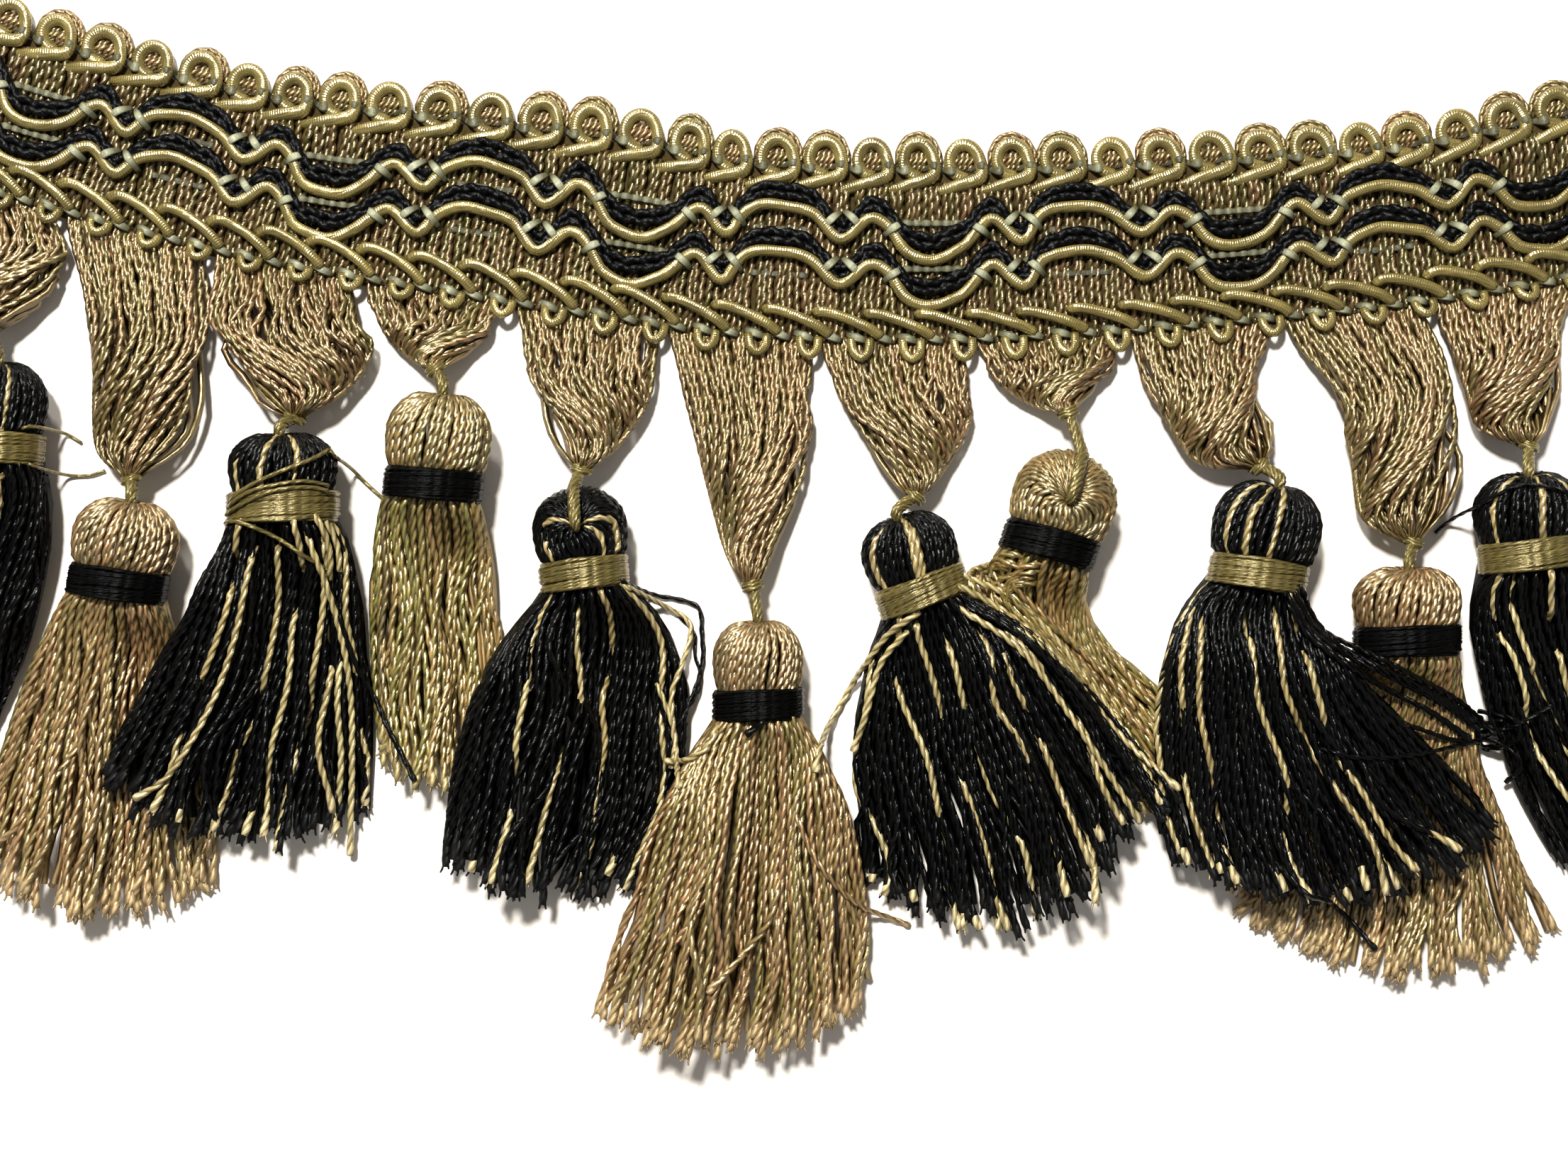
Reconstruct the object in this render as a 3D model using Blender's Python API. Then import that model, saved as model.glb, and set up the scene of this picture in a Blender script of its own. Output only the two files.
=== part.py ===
"""Tassel fringe trim: a woven gimp heading with scroll edging, couched gimp and black cord, a lower gimp
zigzag, and a row of gathered cord skirts, each tied to a hanging tassel with a wrapped neck.

The trim lies face up on a surface. X runs along the heading, +Y points to its scroll edge and Z up.
The origin is on the heading's flat back, at its middle. Tables and constants are in millimetres.
"""

import math
from collections import namedtuple

import bmesh
import bpy
import numpy as np

MM = 0.001  # metres in a millimetre
SEAT = 0.3  # clearance between pieces that touch

# Heading: T runs down from the scroll tops (0) to the stitched lower edge.
HEADING_WIDTH = 28.2
EDGING_DEPTH = 5.9  # the scroll edging takes this much of the width
EDGING_THICK = 2.4
BRAID_THICK = 2.0
BRAID_SWELL = 0.12  # its thickness varies this much either way
END_MARGIN = 3.2  # plain braid past the first and last skirt, to the cut ends
SKIRTS = 11
SCROLLS_PER_SKIRT = 3
SCROLL_RADIUS = 2.75
SCROLL_DIP = 3.9  # T of the notch between two scrolls

# Lower edge of the heading as it lies, from one cut end to the other, and how wide the heading is there:
# it bends in its own plane, so its scrolls spread over one bend and close up over the others.
EdgePoint = namedtuple("EdgePoint", "x y width")
LOWER_EDGE = [
    EdgePoint(-120.6, 10.4, 27.7),
    EdgePoint(-99.0, 4.1, 27.1),
    EdgePoint(-70.2, -3.2, 27.6),
    EdgePoint(-40.9, -8.3, 29.5),
    EdgePoint(-20.0, -11.6, 30.4),
    EdgePoint(-2.0, -13.9, 29.2),
    EdgePoint(23.6, -14.9, 29.2),
    EdgePoint(51.5, -13.6, 28.2),
    EdgePoint(82.7, -10.8, 27.0),
    EdgePoint(98.0, -8.9, 26.7),
    EdgePoint(120.4, -5.5, 28.0),
]

# One repeat of the couched gimp, in scroll pitches along the heading, and its T.
WAVE_REPEAT = 6.06
WAVE_START = 1.2
WavePoint = namedtuple("WavePoint", "along t")
WAVE = [
    WavePoint(0.0, 12.3),
    WavePoint(0.35, 15.6),
    WavePoint(0.95, 16.6),
    WavePoint(1.5, 14.9),
    WavePoint(2.1, 11.2),
    WavePoint(2.7, 14.2),
    WavePoint(3.1, 10.9),
    WavePoint(3.7, 9.7),
    WavePoint(4.5, 10.8),
    WavePoint(5.08, 14.0),
    WavePoint(5.66, 11.0),
]
WAVE_ROW_STEP = 6.2  # T from the upper row to the lower row
GIMP_RADIUS = 0.6
BLACK_CORD_RADIUS = 0.8
BLACK_CORD_ABOVE = 2.6  # the black cord runs this far above its gimp

# Lower gimp: one zigzag for each scroll pitch.
LOWER_GIMP_RADIUS = 0.7
LOWER_GIMP = [
    WavePoint(-0.03, 27.2),
    WavePoint(-0.01, 25.3),
    WavePoint(0.25, 24.5),
    WavePoint(0.74, 26.8),
]
LOWER_GIMP_LOOP = WavePoint(0.86, 29.6)
LOOP_RISE = 0.7  # the loops climb this much more over the cords that fan out below the heading

# Gathered skirts: each runs from the lower edge to its tie.
Skirt = namedtuple("Skirt", "tie_x tie_y bow mid_width low_width height")
SKIRT_TABLE = [
    Skirt(-105.3, -13.0, 2.5, 17.0, 12.0, 5.0),
    Skirt(-85.6, -33.4, 2.5, 15.5, 10.5, 6.0),
    Skirt(-62.8, -25.0, 0.5, 20.0, 9.5, 6.5),
    Skirt(-43.4, -18.2, 0.0, 15.0, 7.5, 4.5),
    Skirt(-23.1, -32.2, 0.8, 16.8, 9.0, 5.5),
    Skirt(0.6, -48.2, 1.2, 15.5, 9.0, 5.5),
    Skirt(23.4, -35.9, 0.5, 18.0, 9.0, 5.5),
    Skirt(44.4, -24.2, 0.0, 16.0, 7.5, 4.5),
    Skirt(70.9, -31.7, -2.5, 13.5, 10.0, 6.0),
    Skirt(92.4, -42.2, 2.5, 15.5, 12.0, 6.5),
    Skirt(108.4, -28.9, -1.0, 14.0, 11.0, 6.0),
]
SKIRT_GAP = 0.5  # between the tops of two skirts
SKIRT_TOP = HEADING_WIDTH + 1.5 * SEAT  # T of a skirt's top
SKIRT_TOP_HEIGHT = 2.0
TIE_WIDTH = 3.2
TIE_HEIGHT = 3.0
TIE_LEVEL = 4.6  # height of a skirt's tied point above the surface
TIE_RADIUS = 0.7
TIE_STRAIGHT = 0.9  # a tie leaves square to what it joins for this far

# Tassels, head and wrapped neck: crown is from the band's centre to the head's top, lean turns both.
Head = namedtuple("Head", "colour band_x band_y crown head_width band_width lean")
HEAD_TABLE = [
    Head("black", -104.2, -29.4, 12.3, 13.6, 13.6, -4),
    Head("gold", -87.0, -48.1, 11.9, 14.7, 13.9, -10),
    Head("black", -64.1, -37.6, 10.4, 15.2, 15.6, 0),
    Head("gold", -43.4, -34.5, 13.1, 14.8, 14.0, -6),
    Head("black", -22.7, -46.8, 11.9, 13.4, 12.6, 5),
    Head("gold", 1.4, -64.8, 11.8, 12.8, 12.9, 0),
    Head("black", 24.1, -49.2, 11.1, 13.6, 13.2, 18),
    Head("gold", 41.7, -42.8, 13.2, 14.7, 13.7, -18),
    Head("black", 70.4, -46.9, 13.1, 15.2, 13.8, -11),
    Head("gold", 91.0, -56.0, 10.3, 15.0, 14.8, 0),
    Head("black", 108.2, -44.1, 11.5, 15.0, 14.6, 5),
]

# The fanned skirts below them: tilt turns the cut end, and lift, rise and press stack one on another.
FAN_COLUMNS = (
    "end_x end_y mid_width end_width tilt bulge end_height"  # the cut end
    " lift rise_left rise_right press_left press_right"
)
Fan = namedtuple("Fan", FAN_COLUMNS)
FAN_TABLE = [
    Fan(-120.6, -70.5, 21.0, 25.0, -15, 4.0, 7.5, 0, 0, 0, 0, 0),
    Fan(-91.6, -87.6, 25.0, 34.8, -5, 6.0, 7.5, 0, 0, 0, 0, 0.5),
    Fan(-71.7, -77.3, 26.0, 37.2, -10, 5.8, 7.0, 0, 4.3, 0, 0, 0),
    Fan(-42.5, -72.5, 18.2, 18.8, 0, 3.0, 6.5, 0, 0, 0, 0, 0.5),
    Fan(-28.4, -88.2, 30.0, 28.2, -8, 2.5, 7.0, 0, 3.9, 0, 0, 0.5),
    Fan(-2.0, -106.8, 29.0, 38.7, 2, 5.4, 8.0, 0, 4.2, 0.9, 0, 0),
    Fan(35.3, -83.1, 30.2, 42.0, 19, 12.0, 7.0, 0, 0, 4.6, 0, 0),
    Fan(58.4, -74.7, 15.0, 19.0, 30, 3.0, 3.9, 0, 0, 0, 0, 0.3),
    Fan(80.9, -83.5, 30.8, 47.0, 5, 8.0, 6.5, 5.0, 0, 0.8, 0, 0),
    Fan(90.2, -95.2, 25.6, 48.0, -5, 6.7, 4.3, 0, 0, 0, 0.5, 0),
    Fan(126.2, -85.5, 22.0, 25.0, 10, 4.0, 7.5, 0, 0, 0, 0, 0),
]
Tassel = namedtuple("Tassel", Head._fields + Fan._fields)
TASSELS = [Tassel(*head, *fan) for head, fan in zip(HEAD_TABLE, FAN_TABLE)]
HEAD_FLATTEN = 0.86  # a head's height over its width
DomePoint = namedtuple("DomePoint", "share width")  # down the head, and of its full width
DOME = [
    DomePoint(0.0, 0.28),
    DomePoint(0.1, 0.6),
    DomePoint(0.3, 0.88),
    DomePoint(0.6, 1.0),
    DomePoint(0.97, 0.93),
]
BAND_HEIGHT = 4.8
BAND_WALL = 0.8
HEIGHT_FALL = 4  # how fast a skirt flattens below its band
SIDE_PLATEAU = 0.35  # how far across a skirt a rise or press reaches its full value
RING_POINTS = 10


# ---- curves and frames -------------------------------------------------------------------------


def through(points, per_span):
    """A Catmull-Rom curve through the points."""
    p = np.array(points, float)
    p = np.vstack([2 * p[0] - p[1], p, 2 * p[-1] - p[-2]])
    made = []
    for a, b, c, d in zip(p[:-3], p[1:-2], p[2:-1], p[3:]):
        for u in np.arange(per_span) / per_span:
            cubic = (2 * a - 5 * b + 4 * c - d) * u**2 + (3 * b - a - 3 * c + d) * u**3
            made.append(0.5 * (2 * b + (c - a) * u + cubic))
    return np.array(made + [p[-2]])


EDGE = through(LOWER_EDGE, 24)
EDGE_LENGTHS = np.concatenate([[0], np.cumsum(np.linalg.norm(np.diff(EDGE[:, :2], axis=0), axis=1))])
HEADING_LENGTH = EDGE_LENGTHS[-1]
EDGE_STEP = 2.0  # either side of a point, where its direction along the edge is read
PITCH = (HEADING_LENGTH - 2 * END_MARGIN) / (SKIRTS * SCROLLS_PER_SKIRT)


def on_heading(s, t):
    """Plan position of a point: s along the heading from its left cut end, t down from the scroll tops."""
    x, y, width = (np.interp(s, EDGE_LENGTHS, EDGE[:, k]) for k in (0, 1, 2))
    steps = (EDGE_STEP, -EDGE_STEP)
    ahead, behind = (np.array([np.interp(s + d, EDGE_LENGTHS, EDGE[:, k]) for k in (0, 1)]) for d in steps)
    tangent = (ahead - behind) / np.linalg.norm(ahead - behind)
    up = (HEADING_WIDTH - t) * width / HEADING_WIDTH
    return np.array([x - tangent[1] * up, y + tangent[0] * up])


def smooth(x, low, high):
    """0 below low, 1 above high and an even ramp between."""
    u = np.clip((x - low) / (high - low), 0, 1)
    return u * u * (3 - 2 * u)


def direction(degrees):
    return np.array([math.cos(math.radians(degrees)), math.sin(math.radians(degrees))])


# ---- Blender objects ---------------------------------------------------------------------------


def clear_scene():
    for obj in list(bpy.data.objects):
        bpy.data.objects.remove(obj)


def material(name, colour, roughness):
    made = bpy.data.materials.new(name)
    made.use_nodes = True
    shader = made.node_tree.nodes["Principled BSDF"]
    shader.inputs["Base Color"].default_value = (*colour, 1)
    shader.inputs["Roughness"].default_value = roughness
    return made


def add(name, data, collection, finish):
    obj = bpy.data.objects.new(name, data)
    obj.data.materials.append(finish)
    collection.objects.link(obj)
    return obj


def loft(name, rings, collection, finish, closed=False):
    """A solid through rings of equal point counts, each counterclockwise as seen from the next one.

    closed joins the last ring to the first; else both are capped.
    """
    bm = bmesh.new()
    rows = [[bm.verts.new(np.array(point) * MM) for point in ring] for ring in rings]
    pairs = list(zip(rows[:-1], rows[1:])) + ([(rows[-1], rows[0])] if closed else [])
    count = len(rows[0])
    for lower, upper in pairs:
        for k in range(count):
            bm.faces.new((lower[k], lower[(k + 1) % count], upper[(k + 1) % count], upper[k]))
    if not closed:
        bm.faces.new(rows[0][::-1])
        bm.faces.new(rows[-1])
    mesh = bpy.data.meshes.new(name)
    bm.to_mesh(mesh)
    bm.free()
    mesh.shade_smooth()
    return add(name, mesh, collection, finish)


def cord(name, points, radius, collection, finish, resolution=0):
    """A round cord along the points."""
    curve = bpy.data.curves.new(name, "CURVE")
    curve.dimensions = "3D"
    curve.bevel_depth = radius * MM
    curve.bevel_resolution = resolution
    curve.use_fill_caps = True
    spline = curve.splines.new("POLY")
    spline.points.add(len(points) - 1)
    for target, point in zip(spline.points, points):
        target.co = (*(np.array(point) * MM), 1)
    return add(name, curve, collection, finish)


# ---- heading -----------------------------------------------------------------------------------


def make_braid(collection, finish):
    """The woven ground, flat on its back, a little uneven along both edges and across its face."""
    section = [  # T, share of the thickness
        (EDGING_DEPTH + SEAT, 0.0),
        (EDGING_DEPTH + SEAT, 0.75),
        (EDGING_DEPTH + 1.2, 1.0),
        (HEADING_WIDTH * 0.6, 0.95),
        (HEADING_WIDTH - 1.0, 1.0),
        (HEADING_WIDTH, 0.7),
        (HEADING_WIDTH, 0.0),
    ]
    rings = []
    for s in np.linspace(0, HEADING_LENGTH, 34):
        thick = BRAID_THICK - BRAID_SWELL * (1 - math.sin(s / PITCH * 1.7))
        rings.append([(*on_heading(s, t), share * thick) for t, share in section])
    loft("heading_braid", rings, collection, finish)


def make_edging(collection, finish):
    """The row of scrolls along the top, as one scalloped strip."""
    outline = []
    for k in range(SKIRTS * SCROLLS_PER_SKIRT + 1):
        centre = END_MARGIN + k * PITCH
        if k > 0:
            outline.append(on_heading(centre - PITCH / 2, SCROLL_DIP))
        for degrees in np.linspace(188, -8, 6):
            across, up = direction(degrees) * SCROLL_RADIUS
            outline.append(on_heading(centre + across, SCROLL_RADIUS - up))
    for s in np.linspace(HEADING_LENGTH, 0, 24):
        outline.append(on_heading(s, EDGING_DEPTH))
    curve = bpy.data.curves.new("scroll_edging", "CURVE")
    curve.dimensions = "2D"
    curve.fill_mode = "BOTH"
    curve.extrude = EDGING_THICK / 2 * MM
    spline = curve.splines.new("POLY")
    spline.points.add(len(outline) - 1)
    for target, (x, y) in zip(spline.points, outline):
        target.co = (x * MM, y * MM, 0, 1)
    spline.use_cyclic_u = True
    obj = add("scroll_edging", curve, collection, finish)
    obj.location.z = EDGING_THICK / 2 * MM


def wave_t(along):
    """T of the upper gimp, along the heading in scroll pitches."""
    stops = [point.along for point in WAVE] + [WAVE[0].along + WAVE_REPEAT]
    depths = [point.t for point in WAVE] + [WAVE[0].t]
    return float(np.interp((along - WAVE_START) % WAVE_REPEAT, stops, depths))


def wave_stops():
    """Where along the heading the wave has its points, in scroll pitches, with both ends."""
    last = SKIRTS * SCROLLS_PER_SKIRT
    repeats = range(-1, math.ceil(last / WAVE_REPEAT))
    inside = [WAVE_START + WAVE_REPEAT * r + p.along for r in repeats for p in WAVE]
    return [0.0] + [a for a in inside if 0.2 < a < last - 0.2] + [float(last)]


def make_couched_cords(collection, gold, black):
    """Two rows of wavy gimp, each with a black cord lying along its upper side."""
    seat = BRAID_THICK + SEAT
    for row, name in enumerate(("upper", "lower")):
        lay = [(END_MARGIN + a * PITCH, wave_t(a) + row * WAVE_ROW_STEP) for a in wave_stops()]
        gimp = [(*on_heading(s, t), seat + GIMP_RADIUS) for s, t in lay]
        beside = [(*on_heading(s, t - BLACK_CORD_ABOVE), seat + BLACK_CORD_RADIUS) for s, t in lay]
        cord(f"gimp_wave_{name}", gimp, GIMP_RADIUS, collection, gold)
        cord(f"black_cord_{name}", beside, BLACK_CORD_RADIUS, collection, black)


def make_lower_gimp(collection, finish):
    """One cord that zigzags along the lower edge, with a small loop past it at each turn."""
    low = BRAID_THICK + SEAT + LOWER_GIMP_RADIUS
    line = []
    for k in range(SKIRTS * SCROLLS_PER_SKIRT):
        for point in LOWER_GIMP:
            line.append((*on_heading(END_MARGIN + (k + point.along) * PITCH, point.t), low))
        loop = LOWER_GIMP_LOOP
        line.append((*on_heading(END_MARGIN + (k + loop.along) * PITCH, loop.t), low + LOOP_RISE))
    cord("gimp_lower", line[:-1], LOWER_GIMP_RADIUS, collection, finish)


# ---- skirts and ties ---------------------------------------------------------------------------


def ring_at(centre, across, width, floor, height, forward=None):
    """A flattened ring, widest along across, with a round top and a flatter foot.

    floor, height and forward are functions of the place across it, from -1 to 1.
    """
    ring = []
    for k in range(RING_POINTS):
        angle = 2 * math.pi * k / RING_POINTS
        a, up = math.cos(angle), math.sin(angle)
        share = min(1, abs(up) / 0.9) ** (0.85 if up > 0 else 0.5)
        level = floor(a) + height(a) * (0.5 + 0.5 * math.copysign(share, up))
        x, y = centre + across * width / 2 * a + (0 if forward is None else forward(a))
        ring.append((x, y, level))
    return ring


def skirt_span(index):
    """Where along the heading a skirt starts and stops."""
    start = END_MARGIN + index * SCROLLS_PER_SKIRT * PITCH + SKIRT_GAP / 2
    return start, start + SCROLLS_PER_SKIRT * PITCH - SKIRT_GAP


def skirt_fall(index, row):
    """Direction from the middle of a skirt's top to its tied point."""
    top = sum(on_heading(s, SKIRT_TOP) for s in skirt_span(index)) / 2
    fall = np.array([row.tie_x, row.tie_y]) - top
    return fall / np.linalg.norm(fall)


def make_skirt(index, row, collection, finish):
    """A gathered skirt of cords, from its width at the heading to the tied point."""
    start, stop = skirt_span(index)
    top_left, top_right = (on_heading(s, SKIRT_TOP) for s in (start, stop))
    top = (top_left + top_right) / 2
    edge = (top_right - top_left) / np.linalg.norm(top_right - top_left)
    tie = np.array([row.tie_x, row.tie_y])
    fall = skirt_fall(index, row)
    across_end = np.array([-fall[1], fall[0]])
    stops = (0, 0.5, 0.85, 1)  # down the skirt
    widths = (np.linalg.norm(top_right - top_left), row.mid_width, row.low_width, TIE_WIDTH)
    heights = (SKIRT_TOP_HEIGHT, row.height, row.height, TIE_HEIGHT)
    rings = []
    for u in (0, 0.25, 0.5, 0.7, 0.87, 1.0):
        width, height = np.interp(u, stops, widths), np.interp(u, stops, heights)
        centre = top + (tie - top) * u + across_end * row.bow * math.sin(math.pi * u)
        across = edge * (1 - u) + across_end * u
        across /= np.linalg.norm(across)
        floor = (TIE_LEVEL - TIE_HEIGHT / 2) * smooth(u, 0.8, 1.0)
        rings.append(ring_at(centre, across, width, lambda a: floor, lambda a: height))
    # The first ring follows the heading's edge, which is not quite straight.
    for k, (_, _, level) in enumerate(rings[0]):
        along = 0.5 + 0.5 * math.cos(2 * math.pi * k / RING_POINTS)
        rings[0][k] = (*on_heading(start + (stop - start) * along, SKIRT_TOP), level)
    loft(f"skirt_{index:02d}", rings, collection, finish)


def tassel_frame(row):
    """(band centre, axis towards the cut end, across to the right, head top)."""
    across = direction(row.lean)
    axis = np.array([across[1], -across[0]])
    centre = np.array([row.band_x, row.band_y])
    return centre, axis, across, centre - axis * row.crown


def make_tie(index, skirt, tassel, collection, finish):
    """The short knotted thread from a skirt's tied point to its tassel's head."""
    _, axis, _, head_top = tassel_frame(tassel)
    start = np.array([skirt.tie_x, skirt.tie_y, TIE_LEVEL])
    stop = np.array([*head_top, axis_level(tassel)])
    out, back = np.array([*skirt_fall(index, skirt), 0]), np.array([*axis, 0])
    line = [start + out * SEAT, start + out * TIE_STRAIGHT, stop - back * TIE_STRAIGHT, stop - back * SEAT]
    cord(f"tie_{index:02d}", line, TIE_RADIUS, collection, finish, resolution=1)


# ---- tassels -----------------------------------------------------------------------------------


def axis_level(row):
    """Height of the head's and band's centre line, with the wider of the two on the surface."""
    return max(row.head_width, row.band_width) * HEAD_FLATTEN / 2


def head_sections(row):
    """(distance before the band's centre, width) down the head, from its top into the neck."""
    length = row.crown - BAND_HEIGHT / 2 - SEAT
    neck = row.band_width - 2 * (BAND_WALL + 1.5 * SEAT)
    sections = [(row.crown - point.share * length, row.head_width * point.width) for point in DOME]
    return sections + [(BAND_HEIGHT / 2 + SEAT / 2, neck), (-BAND_HEIGHT / 2, neck)]


def skirt_line(row, u):
    """(centre, across, width) of the tassel's skirt, u from the band to the cut end."""
    centre, axis, across, _ = tassel_frame(row)
    start = centre + axis * (BAND_HEIGHT / 2 + SEAT)
    end = np.array([row.end_x, row.end_y])
    bend = start + axis * 0.3 * np.linalg.norm(end - start)
    middle = start * (1 - u) ** 2 + bend * 2 * u * (1 - u) + end * u**2
    turn = across * (1 - smooth(u, 0, 1)) + direction(row.tilt) * smooth(u, 0, 1)
    first = row.band_width
    width = first + (4 * row.mid_width - row.end_width - 3 * first) * u
    width += 2 * (row.end_width + first - 2 * row.mid_width) * u**2
    return middle, turn / np.linalg.norm(turn), width


def skirt_floor(row, u, a):
    left, right = smooth(-a, 0, SIDE_PLATEAU), smooth(a, 0, SIDE_PLATEAU)
    return smooth(u, 0, 0.4) * (row.lift + row.rise_left * left + row.rise_right * right)


def skirt_height(row, u, a):
    left, right = smooth(-a, 0, SIDE_PLATEAU), smooth(a, 0, SIDE_PLATEAU)
    start = row.band_width * HEAD_FLATTEN
    full = row.end_height + (start - row.end_height) * (1 - u) ** HEIGHT_FALL
    return full * (1 - smooth(u, 0, 0.3) * (row.press_left * left + row.press_right * right))


def make_tassel(index, row, collection, finish, wrap):
    """Head, neck and fanned skirt as one body of cords, and the band wrapped round its neck."""
    centre, axis, across, _ = tassel_frame(row)
    rings = []
    for distance, width in head_sections(row):
        height = width * HEAD_FLATTEN
        floor = axis_level(row) - height / 2
        rings.append(ring_at(centre - axis * distance, across, width, lambda a: floor, lambda a: height))
    for u in (0.0, 0.22, 0.48, 0.75, 1.0):
        middle, turn, width = skirt_line(row, u)
        ahead = np.array([turn[1], -turn[0]])
        rings.append(
            ring_at(
                middle,
                turn,
                width,
                lambda a: skirt_floor(row, u, a),
                lambda a: skirt_height(row, u, a),
                lambda a: ahead * row.bulge * u**2 * (1 - a * a),
            )
        )
    loft(f"tassel_{index:02d}", rings, collection, finish)
    inner, outer = row.band_width - 2 * BAND_WALL, row.band_width
    loop = []
    for side, width in ((1, outer), (-1, outer), (-1, inner), (1, inner)):
        height = width * HEAD_FLATTEN
        floor = axis_level(row) - height / 2
        place = centre + axis * -side * (BAND_HEIGHT / 2 - SEAT)
        loop.append(ring_at(place, across, width, lambda a: floor, lambda a: height))
    loft(f"band_{index:02d}", loop, collection, wrap, closed=True)


def main():
    clear_scene()
    collection = bpy.data.collections.new("tassel_fringe_trim")
    bpy.context.scene.collection.children.link(collection)
    gold = material("gold_cord", (0.36, 0.24, 0.08), 0.35)
    black = material("black_cord", (0.012, 0.012, 0.015), 0.4)
    gimp = material("gold_gimp", (0.33, 0.26, 0.10), 0.4)
    make_braid(collection, gold)
    make_edging(collection, gimp)
    make_couched_cords(collection, gimp, black)
    make_lower_gimp(collection, gimp)
    for index, (skirt, tassel) in enumerate(zip(SKIRT_TABLE, TASSELS)):
        body, wrap = (gold, black) if tassel.colour == "gold" else (black, gimp)
        make_skirt(index, skirt, collection, gold)
        make_tie(index, skirt, tassel, collection, gimp)
        make_tassel(index, tassel, collection, body, wrap)


main()
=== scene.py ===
"""Looks of the tassel fringe trim: its yarns, gimps, stitches, skirts, ties, tassels and wrapped bands.

Tables and constants are in millimetres and repeat the part's own; meshes are made in metres. X runs along
the heading, +Y points to its scroll edge and Z up. Yarns are twisted tubes, all of a piece in one mesh.
"""

import math
from collections import namedtuple

import bpy
import numpy as np
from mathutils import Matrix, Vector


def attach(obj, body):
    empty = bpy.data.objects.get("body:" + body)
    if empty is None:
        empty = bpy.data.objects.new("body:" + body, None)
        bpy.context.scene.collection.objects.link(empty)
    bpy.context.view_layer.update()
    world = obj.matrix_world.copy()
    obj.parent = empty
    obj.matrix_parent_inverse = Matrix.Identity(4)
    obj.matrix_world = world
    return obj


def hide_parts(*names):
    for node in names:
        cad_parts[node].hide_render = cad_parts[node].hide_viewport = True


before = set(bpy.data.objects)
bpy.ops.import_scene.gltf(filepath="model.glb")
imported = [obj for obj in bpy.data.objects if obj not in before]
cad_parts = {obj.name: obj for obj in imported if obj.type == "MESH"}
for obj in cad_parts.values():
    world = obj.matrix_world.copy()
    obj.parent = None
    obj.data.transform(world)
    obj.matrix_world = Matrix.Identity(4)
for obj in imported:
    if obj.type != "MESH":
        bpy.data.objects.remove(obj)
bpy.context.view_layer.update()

MM = 0.001  # metres in a millimetre
UP = np.array([0.0, 0.0, 1.0])


def table(columns, *rows):
    """The rows, with their columns named."""
    row_type = namedtuple("Row", columns)
    return [row_type(*row) for row in rows]


# ---- sizes shared with the part ----

SEAT = 0.3
HEADING_WIDTH = 28.2
BRAID_THICK = 2.0
END_MARGIN = 3.2
SKIRTS = 11
SCROLLS_PER_SKIRT = 3
SCROLL_RADIUS = 2.75

LOWER_EDGE = table(
    "x y width",
    (-120.6, 10.4, 27.7),
    (-99, 4.1, 27.1),
    (-70.2, -3.2, 27.6),
    (-40.9, -8.3, 29.5),
    (-20, -11.6, 30.4),
    (-2, -13.9, 29.2),
    (23.6, -14.9, 29.2),
    (51.5, -13.6, 28.2),
    (82.7, -10.8, 27),
    (98, -8.9, 26.7),
    (120.4, -5.5, 28),
)

WAVE_REPEAT = 6.06
WAVE_START = 1.2
WAVE = table(
    "along t black_above",  # the gimp's T, and how far above it the black cord lies
    (0, 12.3, 1.7),
    (0.35, 15.6, 2.2),
    (0.95, 16.6, 2.6),
    (1.5, 14.9, 2.2),
    (2.1, 11.2, 1.9),
    (2.7, 14.2, 1.5),
    (3.1, 10.9, 1.7),
    (3.7, 9.7, 2.1),
    (4.5, 10.8, 2),
    (5.08, 14, 1.5),
    (5.66, 11, 1.9),
)
WAVE_ROW_STEP = 6.2

SKIRT_TABLE = table(
    "tie_x tie_y bow mid_width low_width height",
    (-105.3, -13, 2.5, 17, 12, 5),
    (-85.6, -33.4, 2.5, 15.5, 10.5, 6),
    (-62.8, -25, 0.5, 20, 9.5, 6.5),
    (-43.4, -18.2, 0, 15, 7.5, 4.5),
    (-23.1, -32.2, 0.8, 16.8, 9, 5.5),
    (0.6, -48.2, 1.2, 15.5, 9, 5.5),
    (23.4, -35.9, 0.5, 18, 9, 5.5),
    (44.4, -24.2, 0, 16, 7.5, 4.5),
    (70.9, -31.7, -2.5, 13.5, 10, 6),
    (92.4, -42.2, 2.5, 15.5, 12, 6.5),
    (108.4, -28.9, -1, 14, 11, 6),
)
SKIRT_GAP = 0.5
SKIRT_TOP = HEADING_WIDTH + 1.5 * SEAT
SKIRT_TOP_HEIGHT = 2.0
TIE_WIDTH = 3.2
TIE_HEIGHT = 3.0
TIE_LEVEL = 4.6

HEAD_TABLE = table(
    "colour band_x band_y crown head_width band_width lean",
    ("black", -104.2, -29.4, 12.3, 13.6, 13.6, -4),
    ("gold", -87, -48.1, 11.9, 14.7, 13.9, -10),
    ("black", -64.1, -37.6, 10.4, 15.2, 15.6, 0),
    ("gold", -43.4, -34.5, 13.1, 14.8, 14, -6),
    ("black", -22.7, -46.8, 11.9, 13.4, 12.6, 5),
    ("gold", 1.4, -64.8, 11.8, 12.8, 12.9, 0),
    ("black", 24.1, -49.2, 11.1, 13.6, 13.2, 18),
    ("gold", 41.7, -42.8, 13.2, 14.7, 13.7, -18),
    ("black", 70.4, -46.9, 13.1, 15.2, 13.8, -11),
    ("gold", 91, -56, 10.3, 15, 14.8, 0),
    ("black", 108.2, -44.1, 11.5, 15, 14.6, 5),
)
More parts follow.
